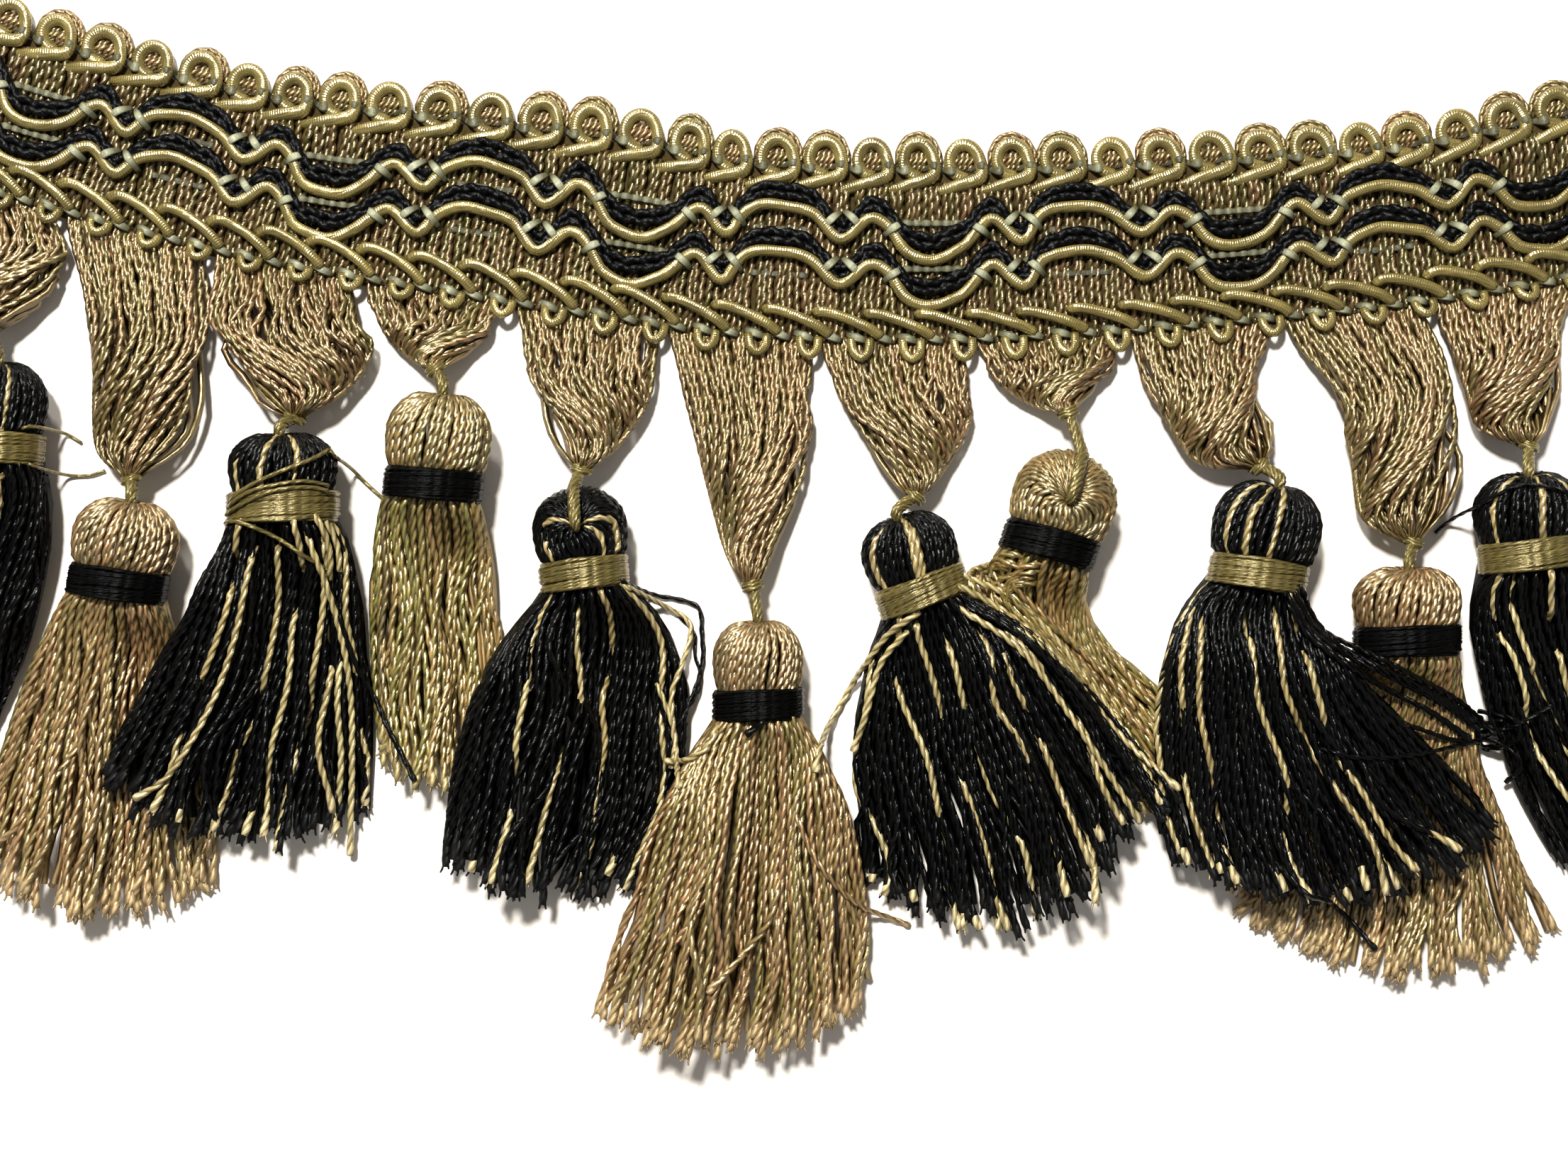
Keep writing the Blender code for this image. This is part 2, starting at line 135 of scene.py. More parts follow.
FAN_TABLE = table(
    "end_x end_y mid_width end_width tilt bulge end_height lift rise_left rise_right press_left press_right",
    (-120.6, -70.5, 21, 25, -15, 4, 7.5, 0, 0, 0, 0, 0),
    (-91.6, -87.6, 25, 34.8, -5, 6, 7.5, 0, 0, 0, 0, 0.5),
    (-71.7, -77.3, 26, 37.2, -10, 5.8, 7, 0, 4.3, 0, 0, 0),
    (-42.5, -72.5, 18.2, 18.8, 0, 3, 6.5, 0, 0, 0, 0, 0.5),
    (-28.4, -88.2, 30, 28.2, -8, 2.5, 7, 0, 3.9, 0, 0, 0.5),
    (-2, -106.8, 29, 38.7, 2, 5.4, 8, 0, 4.2, 0.9, 0, 0),
    (35.3, -83.1, 30.2, 42, 19, 12, 7, 0, 0, 4.6, 0, 0),
    (58.4, -74.7, 15, 19, 30, 3, 3.9, 0, 0, 0, 0, 0.3),
    (80.9, -83.5, 30.8, 47, 5, 8, 6.5, 5, 0, 0.8, 0, 0),
    (90.2, -95.2, 25.6, 48, -5, 6.7, 4.3, 0, 0, 0, 0.5, 0),
    (126.2, -85.5, 22, 25, 10, 4, 7.5, 0, 0, 0, 0, 0),
)
TASSELS = table(HEAD_TABLE[0]._fields + FAN_TABLE[0]._fields, *(h + f for h, f in zip(HEAD_TABLE, FAN_TABLE)))
POLES = [12, 8, 14, 6, 90, 8, 16, 94, 14, 10, 16]  # degrees from a head's top up to where its strands meet
HEAD_FLATTEN = 0.86
BAND_HEIGHT = 4.8
BAND_WALL = 0.8
HEIGHT_FALL = 4
SIDE_PLATEAU = 0.35

# ---- yarns ----

YARN_RADIUS = 0.51
YARN_PITCH = 4.2  # one full turn of its two plies
YARN_WAIST = 0.26  # how much thinner it is between its plies
TIP_SWELL = 0.32  # how much wider a frayed tip is
TIP_ROUND = 0.72  # how much of that its last ring keeps
RING_STEP = 0.85
SPLIT = 24  # rings of a yarn in one strip of the bake atlas
CELL_HEIGHT = 4  # mm of a strip's cell in the atlas
STRIP = (0.06, 0.88, 0.08, 0.84)  # where a strip starts in its cell, its length, its foot, its height
CAPS = (0.03, 0.97, 0.02, 0.3)  # the middles of a yarn's two caps along a cell, their half length and height


def polygon(sides, tall=1.0, wide=1.0):
    """A unit cross-section, scaled along and across the tube's normal."""
    angles = 2 * np.pi * np.arange(sides) / sides
    return np.stack([np.cos(angles) * tall, np.sin(angles) * wide], axis=1)


PLIED = polygon(5)
PLAIN = polygon(4)
FLAT = polygon(8, tall=0.78, wide=1.04)
STRAP = np.array([(0.24, -0.6), (0.24, 0.6), (0, 1), (-0.24, 0.6), (-0.24, -0.6), (0, -1)])


def unit(vectors):
    vectors = np.asarray(vectors, float)
    return vectors / np.linalg.norm(vectors, axis=-1, keepdims=True)


def lengths(line):
    """Distance along a line at each of its points."""
    return np.concatenate([[0], np.cumsum(np.linalg.norm(np.diff(line, axis=0), axis=1))])


def through(points, per_span):
    """A Catmull-Rom curve through the points."""
    p = np.array(points, float)
    p = np.vstack([2 * p[0] - p[1], p, 2 * p[-1] - p[-2]])
    made = []
    for a, b, c, d in zip(p[:-3], p[1:-2], p[2:-1], p[3:]):
        for u in np.arange(per_span) / per_span:
            cubic = (2 * a - 5 * b + 4 * c - d) * u**2 + (3 * b - a - 3 * c + d) * u**3
            made.append(0.5 * (2 * b + (c - a) * u + cubic))
    return np.array(made + [p[-2]])


class Yarns:
    """Gathers tubes, then makes them one mesh with a UV map of (around, mm along) and a bake atlas."""

    def __init__(self):
        self.points, self.quads, self.caps = [], [], []
        self.strand_uv, self.atlas, self.cap_uv, self.cap_atlas = [], [], [], []
        self.tint, self.tip = [], []
        self.count = self.cells = 0

    def add(
        self, path, up, radius, profile=PLIED, pitch=YARN_PITCH, step=RING_STEP, tint=0.5, phase=0.0, cut=0.0
    ):
        """A tube along the path, in mm. up is its normal's hint; cut is how long its frayed tip is.

        With a pitch it is twisted from two plies. up, radius and tint may also be given for each point.
        """
        line = np.asarray(path, float)
        stops = lengths(line)
        rings = max(4, int(round(stops[-1] / step)) + 1)
        at = np.linspace(0, stops[-1], rings)
        hint = np.asarray(up, float) + 1e-4  # never quite along a tube that stands upright
        centre, hint = (
            np.stack([np.interp(at, stops, v) for v in values.T], axis=1) if values.ndim == 2 else values
            for values in (line, hint)
        )
        radius, tint = (np.interp(at, stops, value) if np.ndim(value) else value for value in (radius, tint))
        tangent = unit(np.gradient(centre, axis=0))
        normal = unit(hint - np.sum(hint * tangent, axis=1, keepdims=True) * tangent)
        across = np.cross(tangent, normal)
        tip = np.clip(1 - (stops[-1] - at) / cut, 0, 1) if cut else np.zeros(rings)
        turn = phase + 2 * np.pi * at / pitch if pitch else np.zeros(rings)
        reach = np.broadcast_to(radius * (1 + TIP_SWELL * tip), (rings,))[:, None]
        if pitch:
            sides = 2 * np.pi * np.arange(len(profile)) / len(profile)
            reach = reach * (1 - YARN_WAIST * (1 - tip[:, None]) * np.sin(sides - turn[:, None]) ** 2)
        if cut:
            reach = reach * np.where(np.arange(rings) == rings - 1, TIP_ROUND, 1)[:, None]
        n, b = reach * profile[:, 0], reach * profile[:, 1]
        tube = centre[:, None] + n[..., None] * normal[:, None] + b[..., None] * across[:, None]
        self._keep(tube, at, turn / (2 * np.pi), tint, tip)

    def _keep(self, tube, at, turns, tint, tip):
        rings, sides = tube.shape[:2]
        ring, side = np.indices((rings - 1, sides)).reshape(2, -1, 1)
        rows, columns = ring + [0, 0, 1, 1], side + [0, 1, 1, 0]
        self.quads.append(self.count + rows * sides + columns % sides)
        around = columns / sides
        self.strand_uv.append(np.stack([around - turns[rows], at[rows]], axis=2))
        start, length, foot, height = STRIP
        cell, x = self.cells + ring // SPLIT + 0 * rows, start + length * (rows - ring + ring % SPLIT) / SPLIT
        self.atlas.append(np.stack([cell, x, foot + height * around], axis=2))
        first, last, cap_length, cap_height = CAPS
        ends = (
            (0, np.arange(sides)[::-1], self.cells, first),
            (rings - 1, np.arange(sides), self.cells + (rings - 2) // SPLIT, last),
        )
        for place, order, cell, middle in ends:
            self.caps.append(self.count + place * sides + order)
            self.cap_uv.append(np.column_stack([order / sides - turns[place], at[place] + 0 * order]))
            angles = 2 * np.pi * order / sides
            x, y = middle + cap_length * np.cos(angles), 0.5 + cap_height * np.sin(angles)
            self.cap_atlas.append(np.column_stack([cell + 0 * order, x, y]))
        self.points.append(tube.reshape(-1, 3))
        self.tint.append(np.repeat(np.broadcast_to(tint, rings), sides))
        self.tip.append(np.repeat(tip, sides))
        self.cells += (rings - 2) // SPLIT + 1
        self.count += rings * sides

    def make(self, name, finish, slot, *nodes):
        """Makes them one object with that finish, and dresses it."""
        points = np.concatenate(self.points) * MM
        quads = np.concatenate(self.quads)
        loops = np.concatenate([quads.ravel(), *self.caps])
        totals = np.concatenate([np.full(len(quads), 4), [len(c) for c in self.caps]]).astype(np.int32)
        mesh = bpy.data.meshes.new(name)
        mesh.vertices.add(len(points))
        mesh.vertices.foreach_set("co", points.astype(np.float32).ravel())
        mesh.loops.add(len(loops))
        mesh.loops.foreach_set("vertex_index", loops.astype(np.int32))
        mesh.polygons.add(len(totals))
        mesh.polygons.foreach_set("loop_start", (np.cumsum(totals) - totals).astype(np.int32))
        mesh.update(calc_edges=True)
        mesh.shade_smooth()
        strand = np.concatenate([np.concatenate(self.strand_uv).reshape(-1, 2), *self.cap_uv])
        placed = np.concatenate([np.concatenate(self.atlas).reshape(-1, 3), *self.cap_atlas])
        columns = max(1, round(math.sqrt(self.cells * CELL_HEIGHT / (SPLIT * RING_STEP))))
        rows = math.ceil(self.cells / columns)
        cell, x, y = placed.T
        atlas = np.stack([(cell % columns + x) / columns, (cell // columns + y) / rows], axis=1)
        for layer, values in (("strand", strand), ("OFBake", atlas)):
            mesh.uv_layers.new(name=layer).data.foreach_set("uv", values.astype(np.float32).ravel())
        for label, parts in (("tint", self.tint), ("tip", self.tip)):
            attribute = mesh.attributes.new(label, "FLOAT", "POINT")
            attribute.data.foreach_set("value", np.concatenate(parts).astype(np.float32))
        mesh.materials.append(FINISH[finish])
        return dress(link(name, mesh), slot, *nodes)


def link(name, data):
    obj = bpy.data.objects.new(name, data)
    bpy.context.scene.collection.objects.link(obj)
    return obj


def dress(obj, slot, *nodes):
    """The piece rides on the trim's one body, and stands for those of its solids."""
    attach(obj, "root")
    if nodes:
        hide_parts(*nodes)
    return obj


# ---- materials ----


class Finish:
    """A material, with short calls for the nodes that it is made of."""

    def __init__(self, name):
        self.material = bpy.data.materials.new(name)
        self.material.use_nodes = True
        self.tree = self.material.node_tree
        self.shader = self.tree.nodes["Principled BSDF"]

    def node(self, kind, *inputs, **settings):
        made = self.tree.nodes.new(kind)
        for key, value in settings.items():
            setattr(made, key, value)
        for socket, value in zip([s for s in made.inputs if s.enabled], inputs):
            self.feed(socket, value)
        return made

    def feed(self, socket, value):
        if isinstance(value, bpy.types.NodeSocket):
            self.tree.links.new(value, socket)
        elif value is not None:
            socket.default_value = value

    def settle(self, inputs):
        """Sets the shader's inputs, and gives the material."""
        for name, value in inputs.items():
            self.feed(self.shader.inputs[name], value)
        return self.material

    def math(self, operation, *values):
        return self.node("ShaderNodeMath", *values, operation=operation).outputs[0]

    def times(self, *values):
        """Two values' product, plus the third if there is one."""
        return self.math("MULTIPLY_ADD" if values[2:] else "MULTIPLY", *values)

    def remap(self, value, low, high, to_low, to_high):
        return self.node("ShaderNodeMapRange", value, low, high, to_low, to_high).outputs[0]

    def blend(self, factor, first, second, how="MIX"):
        made = self.node("ShaderNodeMix", factor, first, second, data_type="RGBA", blend_type=how)
        return made.outputs[2]

    def shaded(self, colour, value, *ranges):
        """The colour times a grey: ranges are the value's low and high, and the greys they become."""
        level = self.remap(value, *ranges)
        grey = self.node("ShaderNodeCombineColor", level, level, level).outputs[0]
        return self.blend(1.0, colour, grey, "MULTIPLY")

    def noise(self, x, y, z, scale=1.0, detail=2.0):
        place = self.node("ShaderNodeCombineXYZ", x, y, z).outputs[0]
        return self.node("ShaderNodeTexNoise", place, scale, detail).outputs[0]

    def ramp(self, factor, colours):
        made = self.node("ShaderNodeValToRGB", factor)
        stops = made.color_ramp.elements
        while len(stops) < len(colours):
            stops.new(0.5)
        for k, (stop, colour) in enumerate(zip(stops, colours)):
            stop.position = k / (len(colours) - 1)
            stop.color = (*colour, 1)
        return made.outputs[0]


# shades: its colours from tint 0 to 1; glint: its shine's tint, which also tints the painted shade between
# its plies; tip: its cut tips' colour; groove shade: how dark the painted shade between its plies is; rib: mm
# from one cross rib to the next, with painted shade between ribs, and slant 1 where they slant; streaks:
# filaments round it.
YARN_COLUMNS = "shades glint tip groove rib slant roughness metallic specular ior streaks"
Yarn = namedtuple("Yarn", YARN_COLUMNS, defaults=(9,))
GOLD_SHADES = [
    # The first, darkest shade is what the heads' strands mostly take: painted shade.
    (0.11, 0.072, 0.024),
    (0.29, 0.152, 0.062),
    (0.19, 0.165, 0.036),
    (0.38, 0.205, 0.095),
    (0.22, 0.165, 0.045),
]
GOLD = np.array(GOLD_SHADES)
OLIVE = np.array([(0.115, 0.09, 0.026), (0.165, 0.129, 0.038)])
BLACK = np.full((2, 3), 0.0016)
CREAM = [(0.26, 0.2, 0.085), (0.4, 0.34, 0.17)]
# The pale warp's shades run from dark, painted shade where it dips under, to pale, painted light on its
# raised crests.
WARP = [(0.03, 0.026, 0.01), (0.1, 0.098, 0.05), (0.3, 0.31, 0.2)]
RUSSET = (1.0, 0.83, 0.52)
WARM = (1.0, 0.87, 0.54)
PALE = (1.0, 0.94, 0.74)
COOL = (0.95, 0.97, 1.0)
YARNS = {
    "gold_yarn": Yarn(GOLD * 0.68, RUSSET, (0.36, 0.25, 0.125), 0.85, 0, 0, 0.38, 0.1, 1.0, 2.2),
    "honey_yarn": Yarn(GOLD * (0.68, 0.74, 0.56), WARM, (0.36, 0.28, 0.12), 0.85, 0, 0, 0.38, 0.1, 1.0, 2.2),
    # These two are the same gold yarn with darker shades: painted shade where it lies flat in the bundles and
    # the heading.
    "bundle_yarn": Yarn(GOLD * 0.36, RUSSET, (0.3, 0.2, 0.1), 0.82, 0, 0, 0.33, 0.1, 1.0, 1.85),
    "ground_yarn": Yarn(GOLD * 0.21, WARM, (0.3, 0.2, 0.1), 0.82, 0, 0, 0.31, 0.1, 1.0, 1.62),
    "cream_yarn": Yarn(CREAM, PALE, (0.5, 0.42, 0.24), 0.7, 0, 0, 0.3, 0, 1.0, 1.6),
    "black_yarn": Yarn(BLACK, COOL, BLACK[0] * 2, 0.5, 0, 0, 0.25, 0, 0.65, 1.22),
    "black_cord": Yarn(BLACK, COOL, BLACK[0] * 2, 0.5, 0.9, 1, 0.36, 0, 0.5, 1.2),
    "gimp": Yarn(OLIVE, WARM, (0.3, 0.25, 0.12), 0, 0.34, 0, 0.24, 0.15, 1.0, 1.8),
    "gold_floss": Yarn(OLIVE * 0.75, WARM, (0.2, 0.16, 0.06), 0, 1.6, 1, 0.32, 0.2, 1.0, 1.55),
    "black_floss": Yarn(BLACK, COOL, BLACK[0] * 2, 0, 1.6, 1, 0.36, 0, 0.35, 1.15),
    "pale_thread": Yarn(WARP, COOL, (0.5, 0.5, 0.4), 0, 0, 0, 0.36, 0, 0.5, 1.5, 30),
}
FILAMENT_RELIEF, PLY_RELIEF = 0.1, 0.17  # mm of bump
# The second pair: how dark the painted shade between ribs is, for straight and slanted ribs.
RIB_RELIEF, RIB_PAINTED_SHADE = (0.011, 0.04), (0.72, 0.65)  # straight and slanted ribs
TIP_SHARE = 0.8  # of a tip's own colour in it
TIP_ROUGHNESS = 0.75


def yarn_finish(name, yarn):
    """Filaments along the yarn, partly painted sheen; painted shade in the groove between its plies and
    painted highlights on their crests, or ribs round it with painted shade between them; and paler cut tips.
    """
    f = Finish(name)
    split = f.node("ShaderNodeSeparateXYZ", f.node("ShaderNodeUVMap", uv_map="strand").outputs[0])
    around, along = split.outputs[0], split.outputs[1]
    values = [f.node("ShaderNodeAttribute", attribute_name=name) for name in ("tint", "tip")]
    tint, tip = (value.outputs["Fac"] for value in values)
    colour = f.blend(f.times(tip, TIP_SHARE), f.ramp(tint, yarn.shades), (*yarn.tip, 1))
    slow = f.noise(f.times(tint, 91.0), f.times(along, 0.16), 0.0, detail=3.0)
    colour = f.shaded(colour, slow, 0.3, 0.7, 0.72, 1.2)
    drift = f.times(along, 0.12, f.times(around, yarn.streaks))
    strand = f.times(tint, 53.0)
    # Filament streaks: partly the filaments' own tone, partly a painted sheen of light and dark along them.
    filament_tone_and_sheen = f.noise(f.times(drift, 1.6), f.times(along, 0.45), strand)
    colour = f.shaded(colour, filament_tone_and_sheen, 0.32, 0.68, 0.62, 1.4)
    height = f.times(filament_tone_and_sheen, FILAMENT_RELIEF)
    # Painted shade in the groove between the plies, tinted by the glint, and a painted highlight (1.15) on
    # the ply crests; the lobes also give the plies real relief.
    if yarn.groove:
        lobes = f.math("COSINE", f.times(around, 4 * math.pi))
        lobes = f.math("POWER", f.remap(lobes, -1.0, 1.0, 0.0, 1.0), 0.7)
        groove_shade_colour = 1.25 * (1 - yarn.groove) * np.array(yarn.glint) ** 2
        colour = f.blend(1.0, colour, f.blend(lobes, (*groove_shade_colour, 1), (1.15, 1.15, 1.15, 1)), "MULTIPLY")
        height = f.times(lobes, PLY_RELIEF, height)
    if yarn.rib:
        wobble = f.noise(along, around, tint, scale=1.6)
        wave = f.times(wobble, 0.25 * yarn.rib + 0.2, along)
        wave = f.times(around, 2 * yarn.slant * yarn.rib, wave)
        ribs = f.math("SINE", f.times(wave, 2 * math.pi / yarn.rib))
        # Painted shade in the grooves between ribs, and a painted highlight (1.1) on their crests.
        colour = f.shaded(colour, ribs, -1.0, 1.0, RIB_PAINTED_SHADE[yarn.slant], 1.1)
        height = f.times(ribs, RIB_RELIEF[yarn.slant], height)
    rough = f.remap(tip, 0.0, 1.0, yarn.roughness, TIP_ROUGHNESS)
    bump = f.node("ShaderNodeBump")
    bump.inputs["Distance"].default_value = MM
    f.feed(bump.inputs["Height"], height)
    return f.settle(
        {
            "Base Color": colour,
            "Roughness": rough,
            "Metallic": yarn.metallic,
            "Specular IOR Level": yarn.specular,
            "Specular Tint": (*yarn.glint, 1),
            "IOR": yarn.ior,
            "Normal": bump.outputs[0],
        }
    )


def speckled_finish(name, scale, colours, roughness, specular=0.5):
    """A plain surface finely speckled with two colours."""
    f = Finish(name)
    speckle = f.node("ShaderNodeTexNoise", f.node("ShaderNodeNewGeometry").outputs["Position"])
    speckle.inputs["Scale"].default_value = scale
    colour = f.ramp(speckle.outputs[0], colours)
    return f.settle({"Base Color": colour, "Roughness": roughness, "Specular IOR Level": specular})


FINISH = {name: yarn_finish(name, yarn) for name, yarn in YARNS.items()}

# ---- the heading's frame ----

EDGE = through(LOWER_EDGE, 24)
EDGE_LENGTHS = lengths(EDGE[:, :2])
HEADING_LENGTH = EDGE_LENGTHS[-1]
EDGE_STEP = 2.0
LAST_SCROLL = SKIRTS * SCROLLS_PER_SKIRT
PITCH = (HEADING_LENGTH - 2 * END_MARGIN) / LAST_SCROLL


def at_scroll(k):
    """The distance along the heading where scroll k's ring is; k may lie between two scrolls."""
    return END_MARGIN + k * PITCH


def edge_at(s):
    return np.stack([np.interp(s, EDGE_LENGTHS, EDGE[:, k]) for k in (0, 1)], axis=-1)


def on_heading(s, t, z=0.0):
    """Points s along the heading from its left cut end, t down from the scroll tops, z high."""
    s, t, z = np.broadcast_arrays(np.asarray(s, float), t, z)
    tangent = unit(edge_at(s + EDGE_STEP) - edge_at(s - EDGE_STEP))
    up = (HEADING_WIDTH - t) * np.interp(s, EDGE_LENGTHS, EDGE[:, 2]) / HEADING_WIDTH
    base = edge_at(s)
    return np.stack([base[..., 0] - tangent[..., 1] * up, base[..., 1] + tangent[..., 0] * up, z], axis=-1)


def smooth(x, low, high):
    u = np.clip((np.asarray(x, float) - low) / (high - low), 0, 1)
    return u * u * (3 - 2 * u)


def arch(u):
    """0 where u is 0 or 1, and 1 halfway."""
    return np.sin(np.pi * u)


def direction(degrees):
    return np.array([math.cos(math.radians(degrees)), math.sin(math.radians(degrees))])


def moved(start, *moves):
    """The start moved along each axis by the amounts that come with it."""
    for amounts, axis in moves:
        start = start + np.outer(amounts, axis)
    return start


def sway(rng, u, slow, fast):
    """A smooth random wander of about -1 to 1 along u."""
    turns = rng.uniform(slow * 0.5, slow), rng.uniform(fast * 0.5, fast)
    starts = rng.uniform(0, 2 * np.pi, 2)
    first, second = (np.sin(2 * np.pi * turn * u + start) for turn, start in zip(turns, starts))
    return 0.65 * first + 0.35 * second


# ---- heading ----

CLOTH_TOP = 4.6  # T of its upper edge, under the scrolls
CLOTH_THICK = 1.0
CLOTH_LIFT = 0.05
CLOTH_GRID = (120, 6)  # points along and across
# Near black: painted shade where the cloth shows in the gaps between the ground yarns.
CLOTH_SHADE_COLOURS = [(0.02, 0.013, 0.004), (0.06, 0.04, 0.014)]


def make_cloth():
    """The woven ground under the yarns, a closed thin sheet, near black as painted shade in the gaps between
    them.
    """
    columns, rows = CLOTH_GRID
    s = np.linspace(0, HEADING_LENGTH, columns)
    grid = np.stack([on_heading(s, row) for row in np.linspace(CLOTH_TOP, HEADING_WIDTH, rows)])
    points = np.concatenate([(grid + [0, 0, z]).reshape(-1, 3) for z in (CLOTH_LIFT, CLOTH_THICK)])
    count = columns * rows
    index = np.arange(count).reshape(rows, columns)
    corners = [index[:-1, :-1], index[:-1, 1:], index[1:, 1:], index[1:, :-1]]
    faces = []
    for face in np.stack(corners, axis=-1).reshape(-1, 4):
        faces += [face, count + face[::-1]]
    rim = [*index[0], *index[1:, -1], *index[-1, -2::-1], *index[-2:0:-1, 0]]
    faces += [(b, a, count + a, count + b) for a, b in zip(rim, rim[1:] + rim[:1])]
    mesh = bpy.data.meshes.new("heading_cloth")
    mesh.from_pydata([tuple(p) for p in points * MM], [], [tuple(face) for face in faces])
    mesh.materials.append(speckled_finish("ground_cloth", 1800.0, CLOTH_SHADE_COLOURS, 0.9, 0.1))
    return dress(link("heading_cloth", mesh), "gold_braid", "heading_braid")


GROUND_TOP, GROUND_FOOT = 6.0, HEADING_WIDTH - 0.4  # T of a ground yarn's two ends
GROUND_STEP = 0.98
GROUND_BUNCH = 7
GROUND_LEVEL = 1.32
GROUND_RADIUS = 0.64
PUFFS = ((5.2, 0.5), (20.5, 0.4))  # T where the yarns puff up, and how far
PUFF_WIDTH = 5.5


def make_ground():
    """The yarns across the heading: puffed between the couched rows and pressed down under them."""
    rng = np.random.RandomState(11)
    yarns = Yarns()
    u = np.linspace(0, 1, 28)
    t = GROUND_TOP + (GROUND_FOOT - GROUND_TOP) * u
    puff = sum(high * arch(np.clip((t - first) / PUFF_WIDTH, 0, 1)) for first, high in PUFFS)
    bunch = 1.0
    for k in range(int(HEADING_LENGTH / GROUND_STEP)):
        place = (k % GROUND_BUNCH - (GROUND_BUNCH - 1) / 2) / (GROUND_BUNCH / 2)
        if k % GROUND_BUNCH == 0:
            bunch = rng.uniform(0.2, 0.8)
        s = (k + 0.5) * GROUND_STEP + 0.3 * sway(rng, u, 1.5, 4) - 0.2 * place
        rise = 0.35 * sway(rng, u, 2.5, 6) - 0.3 * place**2
        z = GROUND_LEVEL + (puff + rise) * (0.6 + 0.8 * puff) + rng.uniform(-0.1, 0.12)
        tint = np.clip(bunch + rng.uniform(-0.25, 0.25), 0, 1)
        path = on_heading(np.clip(s, 0.6, HEADING_LENGTH - 0.6), t, np.maximum(z, CLOTH_THICK + 0.1))
        yarns.add(path, UP, GROUND_RADIUS, pitch=3.6, tint=tint, phase=rng.uniform(0, 6.3), step=0.8)
    return yarns.make("heading_yarns", "ground_yarn", "gold_braid")


# A scroll's cord, from its tail under the bar before it, along its own bar, then round its ring: distance
# along the heading and T from the ring's centre, height, radius.
SCROLL = table(
    "along down level radius",
    (-7.3, 3.6, 0.6, 0.45),
    (-6, 4.2, 0.85, 0.6),
    (-4.5, 4.35, 1.4, 0.72),
    (-2.7, 3.95, 1.9, 0.88),
    (-0.8, 3.4, 2.1, 0.95),
    (1, 2.95, 2.1, 0.98),
    (2.15, 2.45, 2.05, 0.96),
    (2.55, 1.5, 1.85, 0.92),
    (2.3, 0.2, 1.65, 0.92),
    (1.7, -1.3, 1.5, 0.92),
    (0.6, -2.1, 1.45, 0.92),
    (-0.7, -2.1, 1.45, 0.92),
    (-1.85, -1.25, 1.4, 0.92),
    (-2.3, 0.1, 1.35, 0.92),
    (-1.95, 1.3, 1.35, 0.92),
    (-1, 2.05, 1.35, 0.9),
    (0.4, 2.3, 1.2, 0.82),
)
BAR_POINTS = 7  # the first points of the scroll lie on its bar
RING_CENTRE = SCROLL_RADIUS + 0.1  # its T
RING_FILL = (-1.2, -0.4, 0.4, 1.2)  # where the yarns inside a ring are, along the heading from its centre
BACKED = (0, 2, 3)  # of every five rings, those with yarns round their outer side
BACKING = (2.3, 2.85, 3.4)  # those yarns' distances from the ring's centre
GIMP_LEAN = 0.55
GIMP = {"profile": FLAT, "pitch": 0}


def leaning(s, t, z, lean=(0, 1)):
    """A cord's path on the heading and its normal's hint, which leans that way along s and t."""
    path = on_heading(s, t, z)
    return path, UP + GIMP_LEAN * (on_heading(s + lean[0], t + lean[1], z) - path)


def make_scrolls():
    """The scroll edging's cords, and the twisted yarn that fills and backs their rings."""
    rng = np.random.RandomState(5)
    cords, fill = Yarns(), Yarns()
    # The cord leans, so its crest runs along a ring's outer side and a bar's upper side.
    leans = [(0, 1) if k < BAR_POINTS else tuple(-unit([p.along, p.down])) for k, p in enumerate(SCROLL)]
    along, down, level, radius, *lean = through([[*p, *lean] for p, lean in zip(SCROLL, leans)], 6).T
    u = np.linspace(0, 1, 8)
    angle = np.radians(np.linspace(-12, 192, 26))
    for k in range(LAST_SCROLL + 1):
        centre = at_scroll(k)
        grow = 1 + rng.uniform(-0.05, 0.05)
        s = np.clip(centre + along * np.where(along < -2.5, 1, grow), -0.6, HEADING_LENGTH + 0.6)
        t = RING_CENTRE + down * np.where(down < 2, grow, 1) + rng.uniform(-0.15, 0.15)
        cords.add(*leaning(s, t, level, lean), radius, **GIMP, step=0.6, tint=rng.uniform(0, 1))
        for offset in RING_FILL:
            s = centre + offset + 1.2 * (u - 0.5) + rng.uniform(-0.1, 0.1)
            path = on_heading(s, RING_CENTRE - 2.6 * (u - 0.5), 0.6 + 0.45 * arch(u))
            fill.add(path, UP, 0.5, pitch=2.8, tint=rng.uniform(0.4, 1))
        if k % 5 in BACKED:
            for reach in BACKING:
                s = centre + 0.1 + reach * np.cos(angle)
                path = on_heading(s, SCROLL_RADIUS - 0.1 - reach * 1.04 * np.sin(angle), 1.25 - 0.2 * reach)
                fill.add(path, UP, 0.45, pitch=2.8, tint=rng.uniform(0.3, 1))
    edging = cords.make("scroll_cords", "gimp", "gold_gimp", "scroll_edging")
    return [edging, fill.make("scroll_yarns", "bundle_yarn", "gold_cord")]


WAVE_STARTS = [WAVE_START + WAVE_REPEAT * r for r in range(-1, math.ceil(LAST_SCROLL / WAVE_REPEAT) + 1)]
GIMP_LEVEL = BRAID_THICK + SEAT + 0.6
GIMP_RADIUS = 0.82
BLACK_RADIUS = 0.76
BLACK_APART = 0.58  # each of the two black strands from their middle


def wave_stops():
    """(along, T of the upper gimp, black cord above it) at the wave's points, a little past both ends."""
    stops = np.array([(start + p.along, p.t, p.black_above) for start in WAVE_STARTS for p in WAVE])
    margin = 0.8 * END_MARGIN / PITCH
    along = stops[:, 0]
    inside = stops[(along > 0.1 - margin) & (along < LAST_SCROLL + margin - 0.1)]
    first, last = (
        [at, *(np.interp(at, along, stops[:, k]) for k in (1, 2))] for at in (-margin, LAST_SCROLL + margin)
    )
    return np.vstack([first, inside, last])


